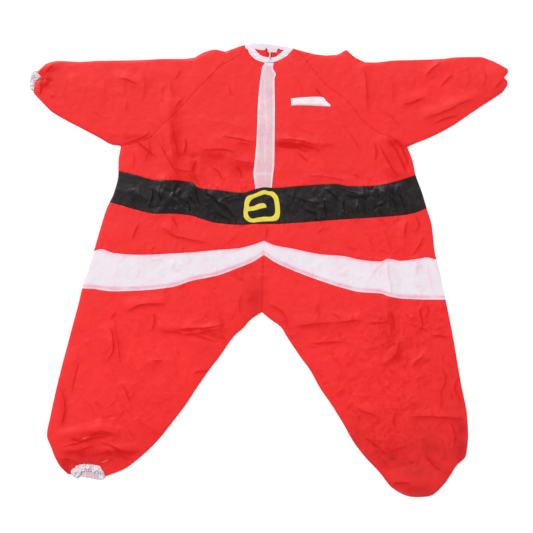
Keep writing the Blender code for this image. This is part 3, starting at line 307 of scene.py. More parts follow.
def make_piece(node, walls, material, body="suit", masks=None, name=None):
    """One object from some walls of cloth, in place of its plain solid."""
    verts, faces = [], []
    for wall_verts, wall_faces in walls:
        first = sum(len(v) for v in verts)
        verts.append(wall_verts)
        faces += [[i + first for i in face] for face in wall_faces] if first else wall_faces
    verts = np.vstack(verts)
    mesh = bpy.data.meshes.new(name or f"{node}_cloth")
    mesh.from_pydata(verts.tolist(), [], faces)
    mesh.shade_smooth()
    mesh.set_sharp_from_angle(angle=CREASE_ANGLE)
    for mask, parts in (masks or {}).items():
        padded = [np.pad(part.ravel(), (0, len(wall[0]) - part.size)) for part, wall in zip(parts, walls)]
        values = np.concatenate(padded)
        layer = mesh.attributes.new(mask, "FLOAT", "POINT")
        layer.data.foreach_set("value", np.pad(values, (0, len(verts) - len(values))))
    mesh.materials.append(material)
    made = bpy.data.objects.new(mesh.name, mesh)
    bpy.context.collection.objects.link(made)
    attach(made, body)
    if name is None:
        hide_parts(node)
    return made


def state_cut(made, grids):
    """Work out the area of a piece's flat panels; the result is not kept."""
    area = 0.0
    for grid in grids:
        across, down = np.diff(grid, axis=1), np.diff(grid, axis=0)
        area += np.abs(np.cross(across[:-1], down[:, :-1])).sum() / 2
        area += np.abs(np.cross(across[1:], down[:, 1:])).sum() / 2


def back_piece(node, grid, material, masks=None):
    """A piece of the back layer, from its flat grid."""
    made = make_piece(node, [cloth_wall(grid, back_top(grid), step=BACK_STEP)], material, masks=masks)
    state_cut(made, [grid])
    return made


class Shade:
    """A value that changes over the surface. Adding, taking or multiplying makes a math node for it."""

    def __init__(self, socket):
        self.socket = socket

    def new(self, kind, inputs, output=0, **settings):
        """One output of a new node in the same tree, with its inputs fed."""
        node = self.socket.id_data.nodes.new(f"ShaderNode{kind}")
        for name, value in settings.items():
            setattr(node, name, value)
        for name, value in inputs.items():
            feed(node.inputs[name], value)
        return Shade(node.outputs[output])

    def __add__(self, other):
        return self.new("Math", {0: self, 1: other}, operation="ADD")

    def __sub__(self, other):
        return self.new("Math", {0: self, 1: other}, operation="SUBTRACT")

    def __mul__(self, other):
        return self.new("Math", {0: self, 1: other}, operation="MULTIPLY")

    def __pow__(self, other):
        return self.new("Math", {0: self, 1: other}, operation="POWER")

    def largest(self, other):
        return self.new("Math", {0: self, 1: other}, operation="MAXIMUM")

    __radd__, __rmul__ = __add__, __mul__

    def clamped(self):
        """The same, kept from 0 to 1."""
        return self.new("Clamp", {"Value": self})

    def mixed(self, first, second):
        """A mix of two colours in this share."""
        return self.new("Mix", {0: self, 6: first, 7: second}, output=2, data_type="RGBA")

    def noise(self, hills, detail, kind="FBM", roughness=0.55):
        """Smooth uneven hills from 0 to 1, that many a metre, over these places."""
        inputs = {"Vector": self, "Scale": hills, "Detail": detail, "Roughness": roughness}
        return self.new("TexNoise", inputs, noise_type=kind)

    def cells(self, count):
        """Distance from the middle of the nearest of many uneven cells, as in crumpled cloth."""
        return self.new("TexVoronoi", {"Vector": self, "Scale": count}, output="Distance")

    def threads(self, scale):
        """The threads of a weave, in its two directions."""
        return [self.new("TexWave", {"Vector": self, "Scale": scale}, "Fac", bands_direction=direction)
                for direction in ("X", "Y")]


def feed(socket, value):
    """Link a changing value to a socket, or set a plain number or colour there."""
    if isinstance(value, Shade):
        socket.id_data.links.new(value.socket, socket)
    else:
        socket.default_value = value


def new_group(name, inputs):
    """An empty group of shader nodes with named sockets, what it is given, and the places on the object."""
    group = bpy.data.node_groups.new(name, "ShaderNodeTree")
    for socket, default in inputs.items():
        kind = "NodeSocketColor" if isinstance(default, tuple) else "NodeSocketFloat"
        group.interface.new_socket(socket, in_out="INPUT", socket_type=kind).default_value = default
    for socket, kind in (("Color", "Color"), ("Roughness", "Float"), ("Height", "Float")):
        group.interface.new_socket(socket, in_out="OUTPUT", socket_type=f"NodeSocket{kind}")
    given = {socket.name: Shade(socket) for socket in group.nodes.new("NodeGroupInput").outputs}
    return group, given, Shade(group.nodes.new("ShaderNodeTexCoord").outputs["Object"])


def stored(group, name):
    """The mask that a mesh holds under a name."""
    node = group.nodes.new("ShaderNodeAttribute")
    node.attribute_name = name
    return Shade(node.outputs["Fac"])


def put_out(group, colour, roughness, height):
    """End a group with its colour, its roughness and its relief in metres."""
    for socket, value in zip(group.nodes.new("NodeGroupOutput").inputs, (colour, roughness, height)):
        feed(socket, value)
    return group


def taffeta_group():
    """Thin woven cloth: crossing threads, crinkles, crumpled facets, a slow change of tone and painted shade."""
    group, given, where = new_group(
        "taffeta",
        {"Colour": (0.8, 0.02, 0.02, 1.0), "Hollow Colour": (0.60, 0.005, 0.006, 1.0), "Tone Change": 0.10,
         "Threads a Metre": 2400.0, "Crinkles a Metre": 34.0, "Thread Height": 0.00005,
         "Crinkle Height": 0.00042, "Crumple Height": 0.0009, "Least Roughness": 0.48,
         "Hollow Gloss": 0.20, "Shade Strength": 0.18})
    warp, weft = where.threads(given["Threads a Metre"] * (math.pi / 10))
    weave = warp * weft
    tone, fine_tone = where.noise(9.0, 2.0), where.noise(60.0, 4.0)
    crinkles = given["Crinkles a Metre"]
    crinkle = where.noise(crinkles, 6.0, "RIDGED_MULTIFRACTAL")
    bend = where.new("TexNoise", {"Vector": where, "Scale": 26.0}, "Color")
    bent = where.new("VectorMath", {0: bend, 1: FACET_BEND, 2: where}, operation="MULTIPLY_ADD")
    facets = bent.cells(crinkles) + 0.3 * bent.cells(2.6 * crinkles)
    crumple = facets * (4.0 * (where.noise(8.0, 3.0) - 0.42)).clamped()
    # Painted shade: the hollow mask mixes towards the hollow colour, the shade mask darkens the whole colour.
    deep = (stored(group, "hollow") * (0.6 + 0.8 * fine_tone)).clamped()
    change = 1.3 * tone + 0.7 * fine_tone - 1.0
    dark = stored(group, "shade") * given["Shade Strength"] * (0.5 + fine_tone)
    bright = 1.0 + change * given["Tone Change"] + -0.04 * weave - dark
    tint = deep.mixed(given["Colour"], given["Hollow Colour"])
    colour = tint.new("VectorMath", {0: tint, "Scale": bright}, operation="SCALE")
    roughness = given["Least Roughness"] + (0.12 * fine_tone - deep * given["Hollow Gloss"])
    height = (weave * given["Thread Height"] + crinkle * given["Crinkle Height"]
              + crumple * given["Crumple Height"])
    return put_out(group, colour, roughness, height)


def cloth_material(name, group, values, specular, sheen=0.0):
    """A material that takes its colour, roughness and relief from a group."""
    made = bpy.data.materials.new(name)
    made.use_nodes = True
    tree = made.node_tree
    shader = tree.nodes["Principled BSDF"]
    look = tree.nodes.new("ShaderNodeGroup")
    look.node_tree = group
    for socket, value in values.items():
        look.inputs[socket].default_value = value
    bump = tree.nodes.new("ShaderNodeBump")
    bump.inputs["Distance"].default_value = 1.0
    tree.links.new(look.outputs["Height"], bump.inputs["Height"])
    tree.links.new(look.outputs["Color"], shader.inputs["Base Color"])
    tree.links.new(look.outputs["Roughness"], shader.inputs["Roughness"])
    tree.links.new(bump.outputs["Normal"], shader.inputs["Normal"])
    shader.inputs["Specular IOR Level"].default_value = specular
    shader.inputs["Sheen Weight"].default_value = sheen
    shader.inputs["Sheen Roughness"].default_value = SHEEN_ROUGHNESS
    return made


TAFFETA = taffeta_group()
# Its hollow colour is the painted shade of creases, seams and folds.
RED_TAFFETA = cloth_material(
    "red_taffeta", TAFFETA,
    {"Colour": (0.82, 0.0115, 0.0115, 1.0), "Hollow Colour": (0.665, 0.0015, 0.002, 1.0)}, 0.53)

top = np.vstack([raglan("right", BACK_RAGLAN_COLUMNS), smooth_line(BACK_NECK, BACK_NECK_COLUMNS)[1:-1],
                 raglan("left", BACK_RAGLAN_COLUMNS)[::-1]])
corners = side_of_seam(BELT, "top", "right"), side_of_seam(BELT, "top", "left")
bottom = smooth_line(corners, len(top) - 1)
start = side_line(BODY_SIDES, "right", top[0, 1], corners[0][1], BACK_BODICE_ROWS)
end = side_line(BODY_SIDES, "left", top[-1, 1], corners[1][1], BACK_BODICE_ROWS)
grid = framed(top, bottom, start, end)
# Painted shade of folds inside the neck, in random patches, through the hollow mask.
neck_fold_shade = np.clip(1.6 * value_noise(grid.reshape(-1, 2), INNER_FOLD_SIZE, 94), 0, 1)
back_bodice = back_piece("back_bodice", grid, RED_TAFFETA, {"hollow": [neck_fold_shade]})

# The back of the belt, the skirt, the white hem band and the legs.
# Bands and panels of taffeta sewn one below the other, with the seam of the crotch between the two legs. They
# lie on the floor with straight seams, and the front panels cover them.

BACK_HALF_COLUMNS, BACK_BAND_ROWS, BACK_LEG_ROWS = 104, 24, 136
CROTCH_SEAM_SHARE = 0.22    # the share of a leg's rows that lies along the crotch seam
LEG_SIDE_END = {"right": -204, "left": -213}
HEM_PEAK = -5               # squares across: the crotch seam, where the hem band peaks
HEM = [Band(*row) for row in (
    (-188, 17, -18.4), (-175, 19.2, -18.8), (-168, 21, -20), (-155, 17, -21.3), (-128, 15.2, -20.4),
    (-97, 16.5, -17), (-77, 17.7, -10.7), (-52, 20, -5.6), (-30, 21.8, 2.5), (-17, 25, 7.8),
    (HEM_PEAK, 29.2, 15.2), (6, 24.7, 7.8), (22, 21.7, 0.4), (53, 15.6, -11.3), (74, 14, -18),
    (91, 10.3, -22), (112, 8.5, -23.5), (119, 11.2, -26), (132, 9.2, -28.5), (148, 11, -29.3),
    (158, 12.6, -29.6), (167, 10.5, -29.6), (178, 9, -29.6),
)]
HEM_HALF = {"right": [row for row in HEM if row.across <= HEM_PEAK],
            "left": [row for row in HEM if row.across >= HEM_PEAK]}

# The inner sides of the legs, from the crotch down
INNER_LEGS = [Sides(*row) for row in (
    (-42, -7.3, -7.3), (-50, -19, 2.5), (-57, -25, 12), (-66, -35, 17.5), (-87, -50, 31.5), (-100, -60, 41),
    (-118, -72.5, 51), (-134, -83, 62), (-155, -99, 75), (-171, -112, 84), (-188, -130, 97),
    (-199, -145, 107.5), (-206, -163, 113.5),
)]
CROTCH = (INNER_LEGS[0].right, INNER_LEGS[0].up)
LEFT_LEG_END = ((113.5, -206), (123, -217.5), (139, -226), (157, -226.5), (166, -223), (176, -213))


def inner_leg(side, top, rows):
    """Down the crotch seam and the inner side of a leg, with a point at the crotch."""
    seam_rows = round(rows * CROTCH_SEAM_SHARE)
    drop = smooth_line([(HEM_PEAK, top), CROTCH], seam_rows)
    inside = side_line(INNER_LEGS, side, INNER_LEGS[0].up, INNER_LEGS[-1].up, rows - seam_rows)
    return np.vstack([drop, inside[1:]])


def across_back(right, left, middle):
    """A back seam from side to side through its middle."""
    return np.vstack([smooth_line([right, middle], BACK_HALF_COLUMNS),
                      smooth_line([middle, left], BACK_HALF_COLUMNS)[1:]])


def whole_panel(top, bottom, rows):
    """The grid of a panel from the right side of the body to the left one."""
    return framed(top, bottom, side_line(BODY_SIDES, "right", top[0, 1], bottom[0, 1], rows),
                  side_line(BODY_SIDES, "left", top[-1, 1], bottom[-1, 1], rows))


def half_panel(side, top, bottom, rows):
    """The grid of a panel from one side of the body to the crotch seam."""
    return framed(top, bottom, side_line(BODY_SIDES, side, top[0, 1], bottom[0, 1], rows),
                  smooth_line([top[-1], bottom[-1]], rows))


# The belting's hollow colour is the painted shade of its creases.
BLACK_BELTING = cloth_material(
    "black_belting", TAFFETA,
    {"Colour": (0.0085, 0.0042, 0.0048, 1.0), "Hollow Colour": (0.003, 0.0016, 0.002, 1.0),
     "Crinkle Height": 0.0007, "Crumple Height": 0.0015, "Crinkles a Metre": 30.0,
     "Least Roughness": 0.40}, 0.56)
# The white taffeta's hollow colour is the pink of turnings that show through, and also painted shade in its
# creases.
WHITE_TAFFETA = cloth_material(
    "white_taffeta", TAFFETA,
    {"Colour": (0.785, 0.715, 0.77, 1.0), "Hollow Colour": (0.80, 0.43, 0.53, 1.0), "Tone Change": 0.04,
     "Crinkle Height": 0.0004}, 0.25)
corner = {(name, edge, side): np.array(side_of_seam(table[side], edge, side))
          for name, table in (("belt", {"right": BELT, "left": BELT}), ("hem", HEM_HALF))
          for edge in ("top", "bottom") for side in ("right", "left")}
peak = {edge: np.array([HEM_PEAK, float(seam_up(HEM, edge, HEM_PEAK))]) for edge in ("top", "bottom")}
belt_line = {edge: across_back(corner["belt", edge, "right"], corner["belt", edge, "left"],
                               (corner["belt", edge, "right"] + corner["belt", edge, "left"]) / 2)
             for edge in ("top", "bottom")}
hem_line = across_back(corner["hem", "top", "right"], corner["hem", "top", "left"], peak["top"])
belt_grid = whole_panel(belt_line["top"], belt_line["bottom"], BACK_BAND_ROWS)
back_piece("belt_back", belt_grid, BLACK_BELTING)
skirt_grid = whole_panel(belt_line["bottom"], hem_line, BACK_BAND_ROWS)
back_piece("skirt_back", skirt_grid, RED_TAFFETA)
for side in ("right", "left"):
    band_top = smooth_line([corner["hem", "top", side], peak["top"]], BACK_HALF_COLUMNS)
    band_end = smooth_line([corner["hem", "bottom", side], peak["bottom"]], BACK_HALF_COLUMNS)
    grid = half_panel(side, band_top, band_end, BACK_BAND_ROWS)
    back_piece(f"hem_band_back_{side}", grid, WHITE_TAFFETA)
    outer = side_line(BODY_SIDES, side, band_end[0, 1], LEG_SIDE_END[side], BACK_LEG_ROWS)
    inner = inner_leg(side, band_end[-1, 1], BACK_LEG_ROWS)
    foot = smooth_line([outer[-1], inner[-1]] if side == "right" else LEFT_LEG_END[::-1], BACK_HALF_COLUMNS)
    back_piece(f"leg_back_{side}", framed(band_end, foot, outer, inner), RED_TAFFETA)

# The two fronts of the bodice.
# Thin red taffeta, cut with a raglan seam and sewn to the sleeve, the collar, the zip and the belt. They lie
# on the back, with the folds and creases of a suit that has been packed. Those of the front begin here.

NECK_COLUMNS = 40           # from the zip to the raglan seam
RAGLAN_COLUMNS = 160        # down the raglan seam
BODICE_ROWS = 168
FRONT_LEVEL = 0.0021        # height of the upper face where nothing lifts it
SWELL = 0.0022              # how far the front layer rises over the back one, away from the edges
SWELL_REACH = 0.055
TROUGH = 0.0004             # how deep a crease can sink: then the cloth lies on the back layer
FOLD_FADE = 0.009           # folds die away over this distance from the edge
SIDE_TOP = 0.0010           # height of the upper face at the sewn or folded sides
SIDE_REACH = 0.004
FRONT_RIPPLES = (Ripple(0.0006, 0.060, 7), Ripple(0.00030, 0.024, 8), Ripple(0.00014, 0.011, 9))
FOLD_SHARE = 0.55           # how much of its solid's height a broad fold has here
LINE_STEP = 0.001           # seams are followed in steps of this length
SEAM_DIP, SEAM_DIP_WIDE = 0.00035, 0.0028
SEAM_SPREAD, GATHER_SPREAD = 5, 4       # they are worked out to this many times their reach
GATHER_LEAN, GATHER_CHANGE = 0.25, 0.040    # gathers lean to and fro, over this distance
PUCKER, PUCKER_SIZE = 0.00040, 0.009
FINE_PUCKER, FINER = 0.6, 2.3           # how high the finer puckers are beside them, and how much finer
PUCKER_CHANGE = 0.050       # how far the puckers run out changes over this length
WANDER, WANDER_SIZE = 0.0022, 0.024     # creases don't run quite true
ZIP_WIDTH = 0.008
FOLD_REACH, CREASE_REACH = 3.5, 5       # folds and creases are drawn out to this many half widths
CREASE_GAIN, CREASE_SPREAD = 1.15, 1.35     # creases are this much higher and wider than their table says
CREASE_ENDS = 0.6           # how bluntly a crease ends
UPPER_LEFT = (-0.53, 0.85)  # the side to which most creases lean
MAP_STEP = 0.0016           # the creases are drawn on a fine square grid first
MAP_LOW, MAP_HIGH = (-246, -236), (246, 236)    # its corners, in squares
# The dark lines, skirts and hollows below are painted shade, put into the cloth's colour through its hollow mask.
LINE_WIDE = 0.0023          # half width of the darker line at the foot of a crease
SKIRT_WIDE = 0.0060         # below it the cloth stays darker this far
SEAM_LINE_WIDE = 0.0026
FULL_LINE_HIGH, FULL_LINE_WIDE = 0.9, 6     # a crease this high and no wider, in millimetres, is darkest
LINE_DARK, SKIRT_DARK = 1.05, 0.5
HOLLOW_DEPTH = 0.00028      # a place this far below those round it is quite hollow
HOLLOW_SHARE = 0.45         # how dark the hollows are
SHORT_SHADE, SEAM_SHADE = 0.5, 0.55     # how dark short creases and seams are beside long creases
FRONT_COLLAR_SEAM_RIGHT = ((-24, 223.5), (-20, 217), (-14, 211.2), (-4.5, 207.6), (1, 207.4))
FRONT_COLLAR_SEAM_LEFT = ((24, 221), (20, 216.5), (17, 213.6), (7, 208.6), (1, 207.4))
ZIP_LINE = ((1, 212.4), (0.6, 206), (-2.6, 165), (-3.5, 129), (-5, 97), (-5.4, 82))

# The sleeves, by the distance out from the middle line
SLEEVE_TOPS = [Sleeves(*row) for row in (
    (24, 225, 221.5), (31, 223, 219.5), (43, 218.3, 216.3), (54, 220.3, 214.5), (64, 218, 214.5),
    (71, 214.5, 216), (77, 211, 219.7), (83, 211, 215), (93, 211, 208), (105, 211, 207.4),
    (126, 210, 209.5), (145, 209.5, 210), (173, 209, 211), (188, 208, 212.7), (210, 209, 213),
    (222, 206.5, 209.5), (229.5, 200.5, 206), (238.6, 196, 201),
)]
SLEEVE_UNDERSIDES = [Sleeves(*row) for row in (
    (138, 118, 123), (148, 124, 127.5), (157, 125.5, 131), (169, 132, 136.5), (186, 141, 146),
    (205, 151, 159), (218, 159, 167.5), (225, 166, 172), (233.5, 175, 178), (235.5, 177.5, 180),
)]
# The end of the right sleeve, where its elastic is sewn on, and of the left one, which is turned in
WRIST_LINE = ((-235.5, 177.5), (-235.0, 181), (-234.4, 184), (-233.9, 187), (-232.4, 189.2), (-230.4, 191),
              (-228.4, 193.2), (-230.2, 195.6), (-230.6, 198), (-229.5, 200.5))
LEFT_SLEEVE_END = ((233.5, 178), (238, 184.6), (238, 189), (235.3, 192.8), (238.6, 197), (238.6, 201))
# Where the elastic cuff of the right ankle is sewn on
ANKLE_SEAM = ((-200, -203), (-194, -197.5), (-187, -194.5), (-180, -194), (-173, -195.2), (-168, -198.2),
              (-163.5, -205))

# Broad folds: from one point to another in squares, and the size in millimetres
Fold = namedtuple("Fold", "across up to_across to_up wide high")
FOLDS = [Fold(*row) for row in (
    # the right front: down it, across it from the placket, and into the step in the belt
    (-99, 168, -93, 100, 24, 4.5), (-52, 131, -18, 126, 20, 3.5), (-40, 112, -17, 106, 18, 4.0),
    (-70, 108, -73, 84, 20, 4.5),
    # the left front, and the loose corner under the left arm
    (10, 131, 52, 123, 20, 3.5), (40, 95, 78, 90, 18, 3.0), (112, 128, 118, 104, 20, 5.0),
    (122, 100, 138, 96, 18, 4.0),
    # the belt
    (-142, 78, -128, 72, 18, 3.0), (-105, 88, -106, 62, 18, 3.5), (-68, 78, -38, 58, 20, 3.5),
    (58, 80, 60, 56, 20, 3.0), (78, 80, 75, 56, 20, 3.5), (93, 78, 90, 57, 18, 3.5),
    (118, 82, 112, 60, 20, 3.5), (133, 84, 136, 62, 18, 3.5),
    # the skirt, and the step in the hem band
    (-100, 42, -62, 30, 22, 3.0), (137, 48, 133, 26, 20, 3.5), (120, 8, 124, -26, 20, 4.5),
    (148, 10, 146, -8, 18, 3.0),
    # the right leg
    (-140, -34, -108, -30, 20, 4.0), (-160, -60, -154, -84, 22, 4.5), (-108, -56, -52, -58, 20, 4.0),
    (-84, -68, -52, -76, 20, 3.5), (-146, -114, -139, -134, 20, 3.5), (-204, -165, -170, -157, 22, 5.5),
    (-170, -157, -148, -159, 22, 5.0), (-200, -179, -176, -171, 18, 4.0), (-164, -182, -134, -176, 18, 3.5),
    # the left leg
    (30, -52, 88, -48, 22, 4.0), (118, -30, 120, -62, 20, 4.5), (133, -72, 118, -90, 20, 4.5),
    (155, -84, 144, -94, 18, 3.5), (86, -134, 104, -141, 18, 3.0), (152, -144, 190, -147, 20, 4.0),
    # the left sleeve
    (158, 196, 172, 205, 18, 3.5), (137, 170, 156, 175, 18, 3.0), (158, 155, 184, 165, 22, 5.0),
    (184, 165, 206, 175, 22, 4.5), (94, 202, 99, 180, 20, 3.5),
    # the right sleeve
    (-150, 194, -132, 188, 20, 3.0), (-196, 190, -192, 170, 20, 3.0),
    # over the ankle cuff and the wrist cuff that are turned in
    (132, -212, 160, -212, 52, 6.5), (226, 187, 227, 194, 44, 6.5),
)]

